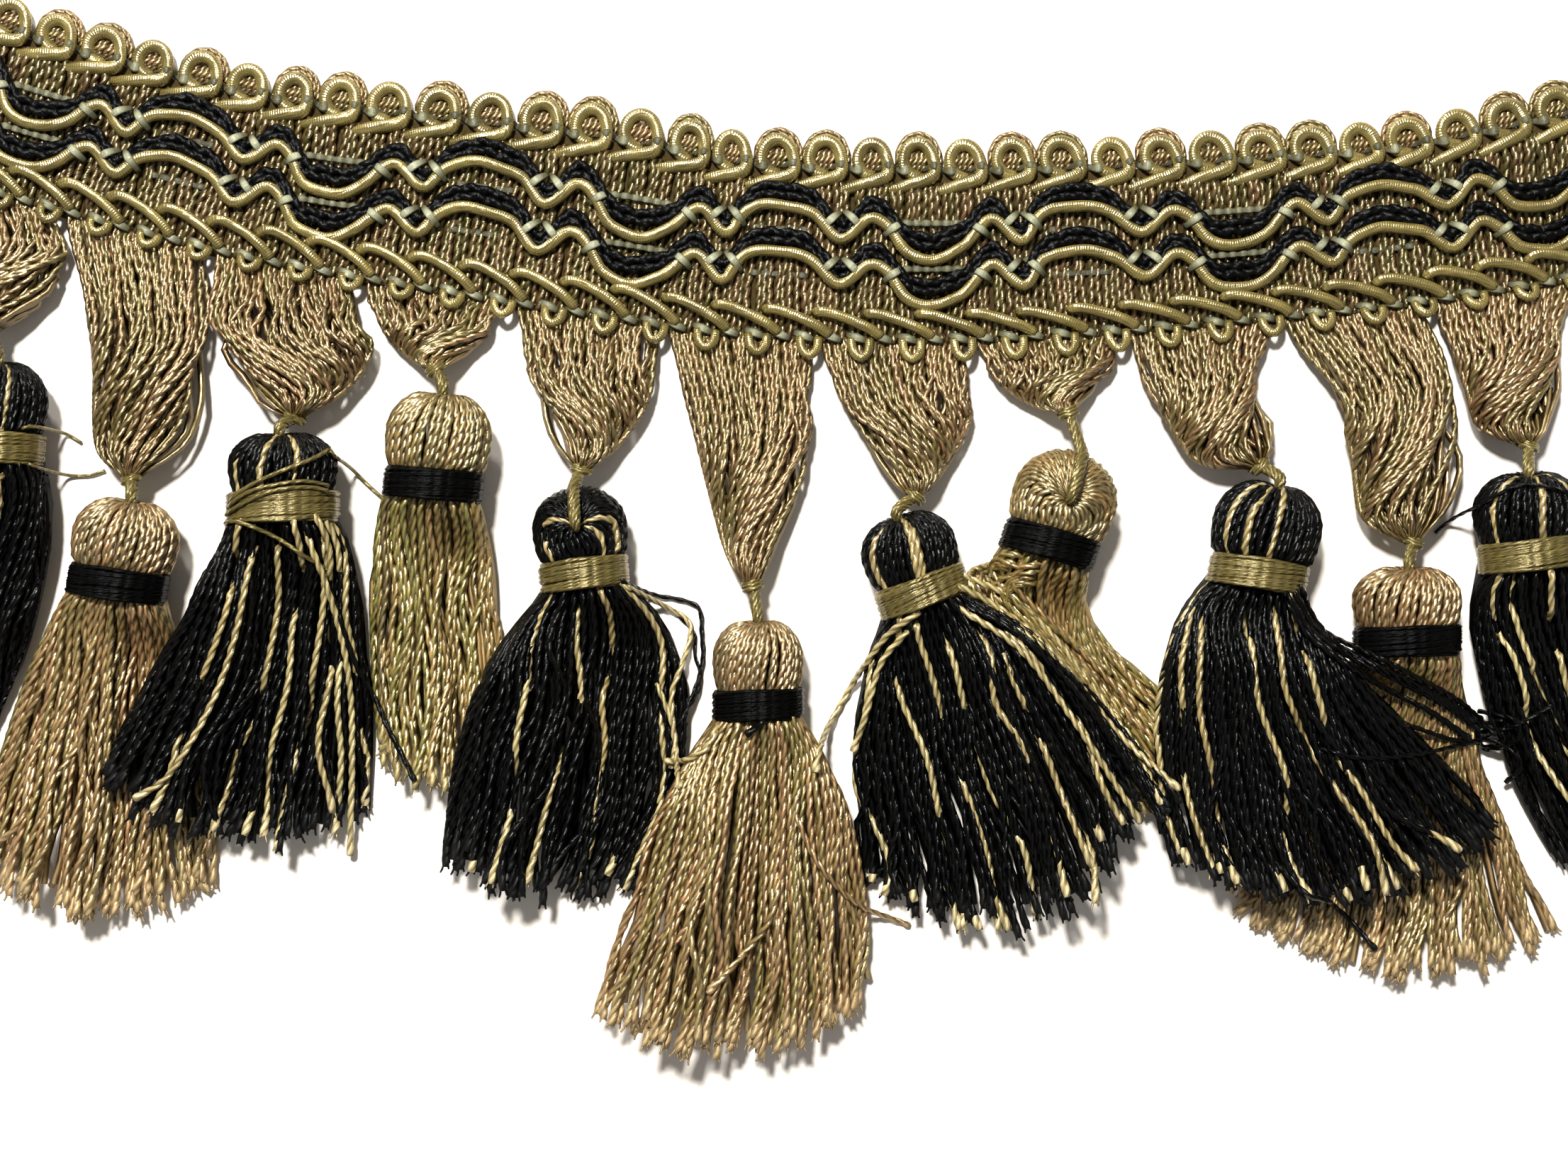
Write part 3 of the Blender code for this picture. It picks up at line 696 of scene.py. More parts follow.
def make_waves():
    """Two rows of wavy gimp, each with a twisted black cord above it."""
    gold, black = Yarns(), Yarns()
    along, down, above = through(wave_stops(), 8).T
    s = at_scroll(along)
    for row in range(2):
        t = down + row * WAVE_ROW_STEP + 0.12 * np.sin(s * 0.9 + row)
        gold.add(*leaning(s, t, GIMP_LEVEL), GIMP_RADIUS, **GIMP, step=0.75, tint=0.7)
        for side, turn in ((-1, 0.0), (1, 1.3)):
            wave = 0.14 * np.sin(s * 2.3 + row + 2 * side) + 0.1 * np.sin(s * 1.1 + turn)
            level = GIMP_LEVEL - 0.15 + 0.12 * np.sin(s * 1.7 + turn)
            path = on_heading(s, t - above + BLACK_APART * side + wave, level)
            black.add(path, UP, BLACK_RADIUS, polygon(6), 4.6, 0.8, 0.5 + 0.3 * side, turn)
    return [
        gold.make("gimp_waves", "gimp", "gold_gimp", "gimp_wave_upper", "gimp_wave_lower"),
        black.make("black_cords", "black_cord", "black_cord", "black_cord_upper", "black_cord_lower"),
    ]


# Where pale warp shows in each repeat of the wave, in scroll pitches along and T: straps over the gimp from
# one end to the other, and floats in beads over the troughs.
STRAPS = table(
    "along t end_along end_t",
    (-0.12, 13.3, 0.3, 11.5),
    (1.64, 11.5, 2.06, 13.3),
    (2.28, 12.9, 2.67, 10.3),
    (2.73, 10.3, 3.12, 12.9),
    (4.66, 12.7, 5.05, 10.1),
    (5.11, 10.1, 5.5, 12.7),
)
# A float's shade is how bright it is painted: dim where it lies sunk between the ground yarns, as painted
# shade.
FLOATS = table(
    "along end_along t lift shade blobs",
    (0.26, 1.7, 11.6, 0.6, 0.6, 7),
    (3.25, 4.45, 12.7, -0.3, 0.2, 5),
)
LOW_STITCHES = 27.15  # T of the stitches along the lower edge
WARP_STRAP = {"profile": STRAP, "pitch": 0}


def along_wave(start, row, u):
    """s from a strap's or a float's one end to its other, in the repeat of the wave that starts there."""
    return at_scroll(start + row.along + (row.end_along - row.along) * u)


def make_stitches():
    """The pale warp that shows: straps over the gimps, floats above the troughs, stitches at both edges."""
    rng = np.random.RandomState(8)
    pale = Yarns()
    u, fine = np.linspace(0, 1, 12), np.linspace(0, 1, 50)
    hump = arch(u)
    for start, down in [(start, row * WAVE_ROW_STEP) for row in range(2) for start in WAVE_STARTS]:
        for strap in (p for p in STRAPS if 0 < start + p.along < LAST_SCROLL - 0.4):
            t = strap.t + (strap.end_t - strap.t) * u + down + rng.uniform(-0.12, 0.12)
            # Pale at the strap's crest and dark at its ends where it dips under: painted light and shade.
            tint = 0.15 + 0.75 * hump + rng.uniform(-0.12, 0.1)
            path = on_heading(along_wave(start, strap, u), t, GIMP_LEVEL - 0.8 + 1.75 * hump)
            pale.add(path, UP, 0.38 + 0.18 * hump, **WARP_STRAP, step=0.5, tint=tint)
        for row in (p for p in FLOATS if 0 < start + p.along < LAST_SCROLL - (p.end_along - p.along)):
            blobs = np.abs(arch(row.blobs * fine)) ** 0.6
            # Pale on each raised bead and dark between them: painted light and shade.
            tint = np.clip(row.shade * (0.2 + 0.8 * blobs) + rng.uniform(-0.05, 0.05), 0, 1)
            level = GROUND_LEVEL + 0.25 + row.lift + 0.4 * blobs
            path = on_heading(along_wave(start, row, fine), row.t + down, level)
            pale.add(path, UP, 0.34 + 0.16 * blobs, **WARP_STRAP, step=0.45, tint=tint)
    for k in range(2 * LAST_SCROLL):
        s = at_scroll((k + 0.5) / 2) + 2.9 * (u - 0.5) + rng.uniform(-0.2, 0.2)
        path = on_heading(s, LOW_STITCHES + 0.9 * (u - 0.5), 1.8 + 0.75 * hump)
        # Pale at the stitch's crest and dark where it goes in: painted light and shade.
        tint = 0.15 + rng.uniform(0.45, 0.7) * hump
        pale.add(path, UP, 0.38 + 0.2 * hump, **WARP_STRAP, step=0.5, tint=tint)
    # A ribbon under the rings' centres, over both sides of each ring and down between them, painted paler
    # where it rises over a ring and dark where it dips: painted light and shade.
    s = np.linspace(0.2, HEADING_LENGTH - 0.2, 900)
    from_ring = (s - END_MARGIN + PITCH / 2) % PITCH - PITCH / 2
    left, right = (np.exp(-(((from_ring - side) / 0.95) ** 2)) for side in (-2.1, 2.5))
    tint = np.clip(0.02 + (0.6 * left + 0.35 * right) * (0.8 + 0.4 * np.sin(s * 0.7)), 0, 1)
    path = on_heading(s, SCROLL_RADIUS + 1.25 + 0.4 * left - 0.2 * right, 0.75 + 1.55 * left + 1.9 * right)
    pale.add(path, UP, 0.38 + 0.4 * left + 0.2 * right, **WARP_STRAP, step=0.4, tint=tint)
    return pale.make("pale_stitches", "pale_thread", "pale_thread")


# A hook of the lower gimp, and the small loop below the edge: scroll pitches along, T, height.
HOOK = [
    (-0.06, 24.1, 2.4),
    (0, 23.65, 2.9),
    (0.22, 23.6, 3),
    (0.6, 24.4, 3),
    (0.98, 25.6, 2.9),
    (1.24, 26.9, 2.3),
]
LOOP = [(0.66, 27.3, 2.2), (0.7, 28.7, 2.9), (0.84, 29.6, 3.3), (0.99, 28.8, 2.9), (1.02, 27.3, 2.2)]


def make_lower_gimp():
    rng = np.random.RandomState(21)
    gimp = Yarns()
    for k in range(LAST_SCROLL):
        for shape, radius in ((HOOK, 0.76), (LOOP, 0.62)):
            along, t, level = through(shape, 6).T
            curl = 0.5 * math.sin(k * 0.23) * arch(np.linspace(0, 1, len(t)))
            s = np.clip(at_scroll(k + along), 0.2, HEADING_LENGTH - 0.2)
            gimp.add(*leaning(s, t - curl, level), radius, **GIMP, step=0.6, tint=rng.uniform(0.2, 1))
    return gimp.make("lower_gimp", "gimp", "gold_gimp", "gimp_lower")


# ---- gathered skirts and ties ----

BUNDLE_LAYERS = [(24, 0.95, True), (19, 0.62, True), (13, 0.28, False)]  # strands, level, twisted
FULLER = {0: 1.15, 1: 1.3, 2: 1.5, 8: 1.3, 9: 1.25, 10: 1.1}  # skirts whose strands bag out above their tie
BUNDLE_TURNS = [1.6, 0.9, -1.2, 1.3, -1.4, 1.1, -1.3, 1.2, 1.7, 1.5, 1.6]
COARSE_STEP = 2.4  # between the rings of a strand that hardly shows


def profile_top(a, power=0.85):
    """How high a rounded section's upper side is at a, -1 to 1 across it: 0.5 at its edges and 1 inside."""
    return 0.5 + 0.5 * np.minimum(1, np.sqrt(np.maximum(0, 1 - a * a)) / 0.9) ** power


def profile_foot(a):
    return 1 - profile_top(a, 0.5)


def skirt_span(index):
    start = at_scroll(index * SCROLLS_PER_SKIRT) + SKIRT_GAP / 2
    return start, start + SCROLLS_PER_SKIRT * PITCH - SKIRT_GAP


def bundle_path(index, row, a, level, turn, u):
    """A strand of a gathered skirt: a across it and level up it at the heading, turned as it gathers."""
    left, right = (on_heading(s, SKIRT_TOP)[:2] for s in skirt_span(index))
    top = (left + right) / 2
    edge = unit(right - left)
    tie = np.array([row.tie_x, row.tie_y])
    fall = unit(tie - top)
    across_end = np.array([-fall[1], fall[0]])
    fuller = FULLER.get(index, 1)
    sizes = [
        (0, np.linalg.norm(right - left), SKIRT_TOP_HEIGHT),
        (0.5, row.mid_width * (1 + 0.3 * (fuller - 1)), row.height),
        (0.85, row.low_width * fuller, row.height),
        (1, TIE_WIDTH, TIE_HEIGHT),
    ]
    stops, wides, talls = through(sizes, 8).T
    wide, tall = np.interp(u, stops, wides), np.interp(u, stops, talls)
    centre = moved(top, (u, tie - top), (arch(u) * row.bow, across_end))
    across = unit(np.outer(1 - u, edge) + np.outer(u, across_end))
    floor = (TIE_LEVEL - TIE_HEIGHT / 2) * smooth(u, 0.8, 1.0)
    # Turn the strand round the bundle's middle, in a square of -1 to 1.
    angle = turn * smooth(u, 0.35, 1.0)
    cos, sin, high = np.cos(angle), np.sin(angle), 2 * level - 1
    x, y = np.clip(a * cos - high * sin, -1, 1), np.clip(a * sin + high * cos, -1, 1)
    place = centre + across * ((wide / 2 - YARN_RADIUS) * x)[:, None]
    foot = profile_foot(x)
    share = foot + (profile_top(x) - foot) * (0.5 + 0.5 * y)
    return np.column_stack([place, floor + YARN_RADIUS + (tall - 2 * YARN_RADIUS) * share])


def make_bundle(index, row):
    """A gathered skirt's strands, from under the heading's edge to its tie."""
    rng = np.random.RandomState(100 + index)
    yarns = Yarns()
    ends = np.linspace(-0.06, 1, 34)
    u = np.clip(ends, 0, 1)
    start, stop = skirt_span(index)
    for strands, level, twisted in BUNDLE_LAYERS:
        form = (PLIED, YARN_PITCH, RING_STEP) if twisted else (PLAIN, 0, COARSE_STEP)
        for k in range(strands):
            a = ((k + 0.5) / strands * 2 - 1) * (0.97 if twisted else 0.8) + rng.uniform(-0.03, 0.03)
            wander = rng.uniform(0.06, 0.2) * sway(rng, u, 1.3, 3.2) * arch(np.clip(u, 0, 0.85) / 0.85)
            lift = level + 0.12 * sway(rng, u, 1.2, 2.6) + (0.06 if k % 2 else -0.06)
            path = bundle_path(index, row, np.clip(a + wander, -1, 1), lift, BUNDLE_TURNS[index], u)
            path[:, 2] = np.maximum(path[:, 2], 0.55)
            path[ends < 0] = on_heading(start + (stop - start) * (0.5 + 0.5 * a), SKIRT_TOP - 1.6, 0.95)
            radius = YARN_RADIUS * (1 - 0.5 * smooth(u, 0.78, 1.0))
            yarns.add(path, UP, radius, *form, np.clip(rng.normal(0.5, 0.25), 0, 1), rng.uniform(0, 6.3))
    name = f"skirt_{index:02d}"
    return yarns.make(f"gathered_{name}", "bundle_yarn", "gold_cord", name)


# ---- tassels ----


def tassel_frame(row):
    """A tassel's band centre, the way down its axis, and the way across it."""
    across = direction(row.lean)
    return np.array([row.band_x, row.band_y]), np.array([across[1], -across[0]]), across


def axis_level(row):
    return max(row.head_width, row.band_width) * HEAD_FLATTEN / 2


def head_shape(row):
    """A head's dome before its middle and taper after it.

    It gives middle, axis, across, front, back, stretch, half, tall: front and back are the dome's and the
    taper's lengths, stretch the length that the taper would have down to a point.
    """
    centre, axis, across = tassel_frame(row)
    length = row.crown - BAND_HEIGHT / 2 - SEAT
    front, back = 0.6 * length, 0.4 * length
    middle = np.array([*(centre - axis * (BAND_HEIGHT / 2 + SEAT + back)), axis_level(row)])
    axis, across = np.array([*axis, 0]), np.array([*across, 0])
    half = row.head_width / 2 - YARN_RADIUS
    stretch = back / math.sqrt(1 - 0.93**2)
    return middle, axis, across, front, back, stretch, half, half * HEAD_FLATTEN


TIE_PLIES = 6
TIE_LAY = 5.5  # one full turn of the tie's plies
TIE_PLY_RADIUS = 0.36
TIE_PLY_APART = 0.55  # from the cord's middle
KNOT_TURNS = 3.4
KNOT_LENGTH = 1.8
KNOT_RADIUS = 1.3
KNOT_CORD_RADIUS = 0.34


def make_tie(index, skirt, row):
    """The knotted cord between a gathered skirt and its tassel's head, to where the head's strands meet."""
    rng = np.random.RandomState(400 + index)
    middle, axis, across, front, *_, tall = head_shape(row)
    start = np.array([skirt.tie_x, skirt.tie_y, TIE_LEVEL])
    pole = math.radians(POLES[index])
    over = [
        middle - axis * (front + 0.7) * math.cos(t) + UP * (tall + 1.2) * math.sin(t)
        for t in np.linspace(pole, 0.1, 1 + int(pole / 0.35), endpoint=False)[::-1]
    ]
    inside = middle - axis * front * 0.75 * math.cos(pole + 0.1) + UP * tall * 0.75 * math.sin(pole + 0.1)
    way = unit(over[0] - start)
    line = through([start - way * 1.5, start + [0, 0, 0.3], *over, inside], 8)
    taper = np.interp(np.linspace(0, 1, len(line)), [0, 0.75, 1], [1, 1, 0.45])
    ahead = np.gradient(line, axis=0)
    side = unit(np.cross(ahead, across * 0.01 + UP))
    above = unit(np.cross(side, ahead))
    yarns = Yarns()
    for k in range(TIE_PLIES):
        turn = (2 * np.pi * (lengths(line) / TIE_LAY + k / TIE_PLIES))[:, None]
        wound = line + TIE_PLY_APART * taper[:, None] * (np.cos(turn) * above + np.sin(turn) * side)
        yarns.add(wound, UP, TIE_PLY_RADIUS * taper, PLIED, 0, 0.7, rng.uniform(0, 1))
    angle = np.linspace(0, 2 * np.pi * KNOT_TURNS, 60)
    knot = moved(start - way * 0.9, (np.linspace(0, KNOT_LENGTH, 60), way))
    knot = knot + KNOT_RADIUS * moved(0, (np.cos(angle), UP), (np.sin(angle), unit(np.cross(way, UP))))
    yarns.add(knot, UP, KNOT_CORD_RADIUS, PLIED, 0, 0.7, 0.5)
    name = f"tie_{index:02d}"
    return yarns.make(f"knotted_{name}", "gold_floss", "gold_gimp", name)


def fan_path(row, a, level, u):
    """Points of a tassel's skirt: a across it, level from its foot 0 to its top 1, u from band to cut end."""
    centre, axis, across = tassel_frame(row)
    start = centre + axis * (BAND_HEIGHT / 2 + SEAT)
    end = np.array([row.end_x, row.end_y])
    bend = start + axis * 0.3 * np.linalg.norm(end - start)
    middle = moved(np.outer((1 - u) ** 2, start), (2 * u * (1 - u), bend), (u**2, end))
    w = smooth(u, 0, 1)
    turn = unit(np.outer(1 - w, across) + np.outer(w, direction(row.tilt)))
    first = row.band_width
    width = first + (4 * row.mid_width - row.end_width - 3 * first) * u
    width = width + 2 * (row.end_width + first - 2 * row.mid_width) * u**2
    ahead = np.stack([turn[:, 1], -turn[:, 0]], axis=1)
    left, right = smooth(-a, 0, SIDE_PLATEAU), smooth(a, 0, SIDE_PLATEAU)
    floor = smooth(u, 0, 0.4) * (row.lift + row.rise_left * left + row.rise_right * right)
    fall = (first * HEAD_FLATTEN - row.end_height) * (1 - np.clip(u, 0, 1)) ** HEIGHT_FALL
    pressed = smooth(u, 0, 0.3) * (row.press_left * left + row.press_right * right)
    height = (row.end_height + fall) * (1 - pressed)
    place = middle + turn * ((width / 2 - YARN_RADIUS) * a)[:, None]
    place = place + ahead * (row.bulge * u**2 * (1 - a * a))[:, None]
    flat = smooth(u, 0.3, 1.0)  # the sides come down to the surface towards the cut end
    top = profile_top(a) * (1 - flat) + (0.15 + 0.85 * (1 - np.abs(a) ** 3)) * flat
    foot = profile_foot(a) * (1 - flat)
    z = floor + YARN_RADIUS + np.maximum(0, height - 2 * YARN_RADIUS) * (foot + (top - foot) * level)
    return np.column_stack([place, z])


FAN_DENSITY = 1.02  # strands of the upper layer for each mm of the skirt's mean width
FAN_LAYERS = [(1, True), (0.84, True), (0.55, False), (0.2, False)]  # level, twisted
FAN_EDGE = 0.985  # how far out, of 1, its outermost strand starts
NECK = 1.6  # mm of a strand under the band
TIP, FILLING_TIP = 3.6, 1.6  # mm of frayed tip
FILLING_STEP = 3.6
BLACK_FILLING = 1.3  # how much thicker a black skirt's filling is
GOLD_PLACES = {  # where gold strands lie across each black tassel's skirt, -1 to 1
    0: (-0.6, -0.1, 0.3),
    2: (-0.45, 0.05, 0.3, 0.5, 0.64, 0.8, 0.9),
    4: (-0.5, -0.08, 0.3, 0.85),
    6: (-0.9, -0.5, -0.2, 0.1, 0.4, 0.55, 0.8),
    8: (-0.95, -0.8, -0.62, -0.1, 0.2, 0.48),
    10: (-0.6, -0.32, 0.1, 0.4),
}
PEACHY = {1: 0.2, 5: 0.06, 9: 0.18}  # how much further along its shades a gold skirt's yarn is
TIP_PLACES = {  # where gold strands come up between the tips of a black skirt alone
    2: (-0.2, 0.15),
    4: (-0.7, 0.6),
    6: (-0.95, -0.75, -0.42, -0.3, -0.14, 0.28, 0.42, 0.65, 0.78),
    8: (-0.92, -0.75, -0.6, -0.3, -0.08, 0.05, 0.17, 0.4, 0.62),
    10: (-0.4, 0.2),
}


def fray(rng, yarns, path, tint):
    """Two fine ends of filament that stand off a cut tip."""
    way = unit(path[-1] - path[-3])
    aside = unit(np.cross(way, UP))
    for side in (-1, 1):
        spread = side * rng.uniform(0.05, 0.35) * aside + rng.uniform(-0.1, 0.25) * UP
        root = path[-1] - 0.6 * way + 0.3 * side * aside
        reach = rng.uniform(0.8, 1.5)
        ends = np.array([root, root + reach * 0.55 * (way + 0.4 * spread), root + reach * (way + spread)])
        ends[:, 2] = np.maximum(ends[:, 2], 0.15)
        yarns.add(ends, UP, 0.13, PLAIN, 0, 1.2, tint, cut=2.5)


def fan_strands(rng, index, row, yarns, gold):
    """The strands of a tassel's skirt, in two twisted layers and a plain filling."""
    mean = (row.mid_width + row.end_width) / 2
    upper = int(mean * FAN_DENSITY)
    picked, tips = (
        [int((a + 1) / 2 * upper) for a in places.get(index, ())] for places in (GOLD_PLACES, TIP_PLACES)
    )
    phase = rng.uniform(0, 6.3)
    filling = YARN_RADIUS * (BLACK_FILLING if row.colour == "black" else 1.0)
    bunches = rng.randint(0, 9999, 3 + upper // 4)
    axis = tassel_frame(row)[1]
    for layer, (level, twisted) in enumerate(FAN_LAYERS):
        for k in range(0, upper, 2 if layer == 3 else 1):
            a0 = (k + 0.25 + 0.5 * (layer % 2) + rng.uniform(-0.25, 0.25)) / upper * 2 - 1
            a0 = float(np.clip(a0, -FAN_EDGE, FAN_EDGE))
            golden = layer == 0 and k in picked
            u = np.linspace(-0.03, 1 + np.clip(rng.normal(-0.005, 0.016), -0.06, 0.03), 40)
            fan = np.clip(u, 0, 1)
            spread = smooth(u, 0, 0.5)
            a = np.sin(np.pi / 2 * a0) * (1 - spread) + a0 * spread
            clump = 0.03 * np.sin(24 * a0 + phase) + 0.02 * np.sin(57 * a0 + 2 * phase)
            loose = rng.uniform(1.2, 3.2) if rng.uniform() < 0.86 else 6.5
            bunch = sway(np.random.RandomState(bunches[(k + 2 * layer) // 4]), u, 1.0, 2.4)
            stray = loose / mean * sway(rng, u, 1.2, 3.6) + 2.2 / mean * bunch
            a = np.clip(a + clump * fan**1.5 + stray * fan**0.7, -1, 1)
            sink = (0.1 if k % 2 else 0.0) * (1 - spread) + rng.uniform(0, 0.14)
            lift = level - sink + (0.06 + 0.03 * loose) * sway(rng, u, 1.4, 3.2) * u
            if golden:  # it comes up and goes under again
                lift = lift + 0.07 + 0.55 * np.minimum(0, sway(rng, u, 2.2, 5.0) - 0.05)
            lift = np.clip(lift, 0, 1.1)
            path = fan_path(row, a, lift, np.clip(u, 0, None))
            neck = u < 0
            path[neck] = fan_path(row, np.sin(np.pi / 2 * a0) * 0.85 + 0 * a, lift * 0.9, 0 * u)[neck]
            path[neck, :2] -= axis * NECK
            tint = np.clip(rng.normal(0.5, 0.25) + PEACHY.get(index, 0), 0, 1)
            if not twisted:
                yarns.add(path[:-1], UP, filling, PLAIN, 0, FILLING_STEP, tint, cut=FILLING_TIP)
                continue
            target = gold if golden else yarns
            target.add(path, UP, YARN_RADIUS, tint=tint, phase=rng.uniform(0, 6.3), cut=TIP)
            fray(rng, target, path, tint)
            if layer == 0 and k in tips:
                end = path[-3 - k % 4 :] + np.linspace(-0.5, 0.5, 3 + k % 4)[:, None] * UP
                gold.add(end, UP, YARN_RADIUS, tint=tint, cut=TIP)


HEAD_STRANDS = 48
HEAD_RADIUS = 0.52
HEAD_PITCH = 3.6
FLING = {4: 0.75, 7: 0.3}  # how far the strands of a head seen end on swing sideways as they leave the tie
UNDER_BAND = ((0.6, 1), (1.8, 0.95), (3, 0.93))  # mm past the taper, and share of the neck's size there


def head_strands(rng, index, row, yarns, gold=None):
    """The strands over a tassel's head, from where they meet, round its dome, and under the band."""
    middle, axis, across, front, back, stretch, half, tall = head_shape(row)
    neck = (row.band_width / 2 - BAND_WALL - HEAD_RADIUS) / half
    swirl = rng.uniform(0.15, 0.35) * rng.choice([-1, 1])
    polar = np.linspace(0.06, np.pi / 2 + math.asin(back / stretch), 24)
    v = polar / polar[-1]
    lean = math.radians(POLES[index]) * (1 - v)
    fling = FLING.get(index, 0)
    golden = [] if gold is None else rng.choice(np.arange(4, HEAD_STRANDS // 2 - 3), 3, replace=False)
    for k in range(HEAD_STRANDS):
        angle = 2 * np.pi * (k + rng.uniform(-0.25, 0.25)) / HEAD_STRANDS
        turn = angle + swirl * (1 - v) + 0.03 * sway(rng, v, 1, 2) - fling * math.cos(angle) * (1 - v) ** 2
        along, aside, above = -np.cos(polar), np.sin(polar) * np.cos(turn), np.sin(polar) * np.sin(turn)
        cos, sin = np.cos(lean), np.sin(lean)
        along, above = along * cos + above * sin, above * cos - along * sin
        out = moved(np.outer(along, axis), (aside, across), (above, UP))
        size = np.minimum(1, 0.8 + 0.8 * v) * (1 - 0.03 * (k % 2))
        if k in golden:  # it goes under its neighbours here and there
            size = size - 0.08 * smooth(sway(rng, v, 1.0, 2.4), 0.1, 0.6)
        reach = np.where(along < 0, front, stretch) * along
        points = moved(middle, (size * reach, axis), (size * half * aside, across), (size * tall * above, UP))
        for beyond, share in UNDER_BAND:
            foot = share * neck * (half * math.cos(angle) * across + tall * math.sin(angle) * UP)
            points = np.vstack([points, middle + axis * (back + beyond) + foot])
            out = np.vstack([out, foot / half])
        radius = HEAD_RADIUS * np.interp(np.arange(len(points)), [0, 7, 12], [0.4, 0.9, 1.0])
        # The head's strands take the dark end of the shades: painted shade, darker than the skirt's same
        # yarn.
        tint = np.clip(rng.normal(0.08, 0.1), 0, 1)
        step = 0.75 if math.sin(angle) > -0.35 else 1.5
        target, wider = (gold, 1.15) if k in golden else (yarns, 1)
        target.add(points, out, radius * wider, PLIED, HEAD_PITCH, step, tint, rng.uniform(0, 6.3))


HONEY = (3, 7)  # the gold tassels whose yarn is yellower


def make_tassel(index, row):
    """A tassel's head and skirt; a black one has gold strands too."""
    rng = np.random.RandomState(200 + index)
    black = row.colour == "black"
    yarns, gold = Yarns(), Yarns()
    head_strands(rng, index, row, yarns, gold if black else None)
    fan_strands(rng, index, row, yarns, gold)
    name = f"tassel_{index:02d}"
    if black:
        yarns.make(f"strands_{name}", "black_yarn", "black_cord", name)
        gold.make(f"gold_strands_{name}", "cream_yarn", "gold_cord")
    else:
        yarns.make(f"strands_{name}", "honey_yarn" if index in HONEY else "gold_yarn", "gold_cord", name)


THREAD_RADIUS = 0.3
THREAD = polygon(4, tall=0.7)
BAND_LAYERS = [(0.45, 12, 0.1), (0.24, 12, 0.8), (0.16, 9, 1)]  # depth under its surface, turns, slant


def make_band(index, row):
    """The thread wound round a tassel's neck."""
    rng = np.random.RandomState(300 + index)
    centre, axis, across = (np.array([*v, z]) for v, z in zip(tassel_frame(row), (axis_level(row), 0, 0)))
    yarns = Yarns()
    angle = np.linspace(0, 2 * np.pi, 29)
    cos, sin = np.cos(angle), np.sin(angle)
    out = np.outer(cos, across) + np.outer(sin, UP)
    edge = BAND_HEIGHT / 2 - SEAT - THREAD_RADIUS / 2
    for depth, turns, slant in BAND_LAYERS:
        for k in range(turns):
            half = row.band_width / 2 - depth + rng.uniform(-0.03, 0.04)
            place = ((k + 0.5 + rng.uniform(-0.3, 0.3)) / turns * 2 - 1) * edge
            along = place - slant * rng.uniform(0.4, 1.1) * np.cos(angle + rng.uniform(-0.5, 0.5))
            along = np.clip(along, -edge, edge)
            path = moved(centre, (along, axis), (half * cos, across), (half * HEAD_FLATTEN * sin, UP))
            yarns.add(path, out, THREAD_RADIUS, THREAD, 0, 1.6, rng.uniform(0, 1))
    name = f"band_{index:02d}"
    thread, slot = ("black_floss", "black_band") if row.colour == "gold" else ("gold_floss", "gold_band")
    return yarns.make(f"wound_{name}", thread, slot, name)


# ---- loose strands ----

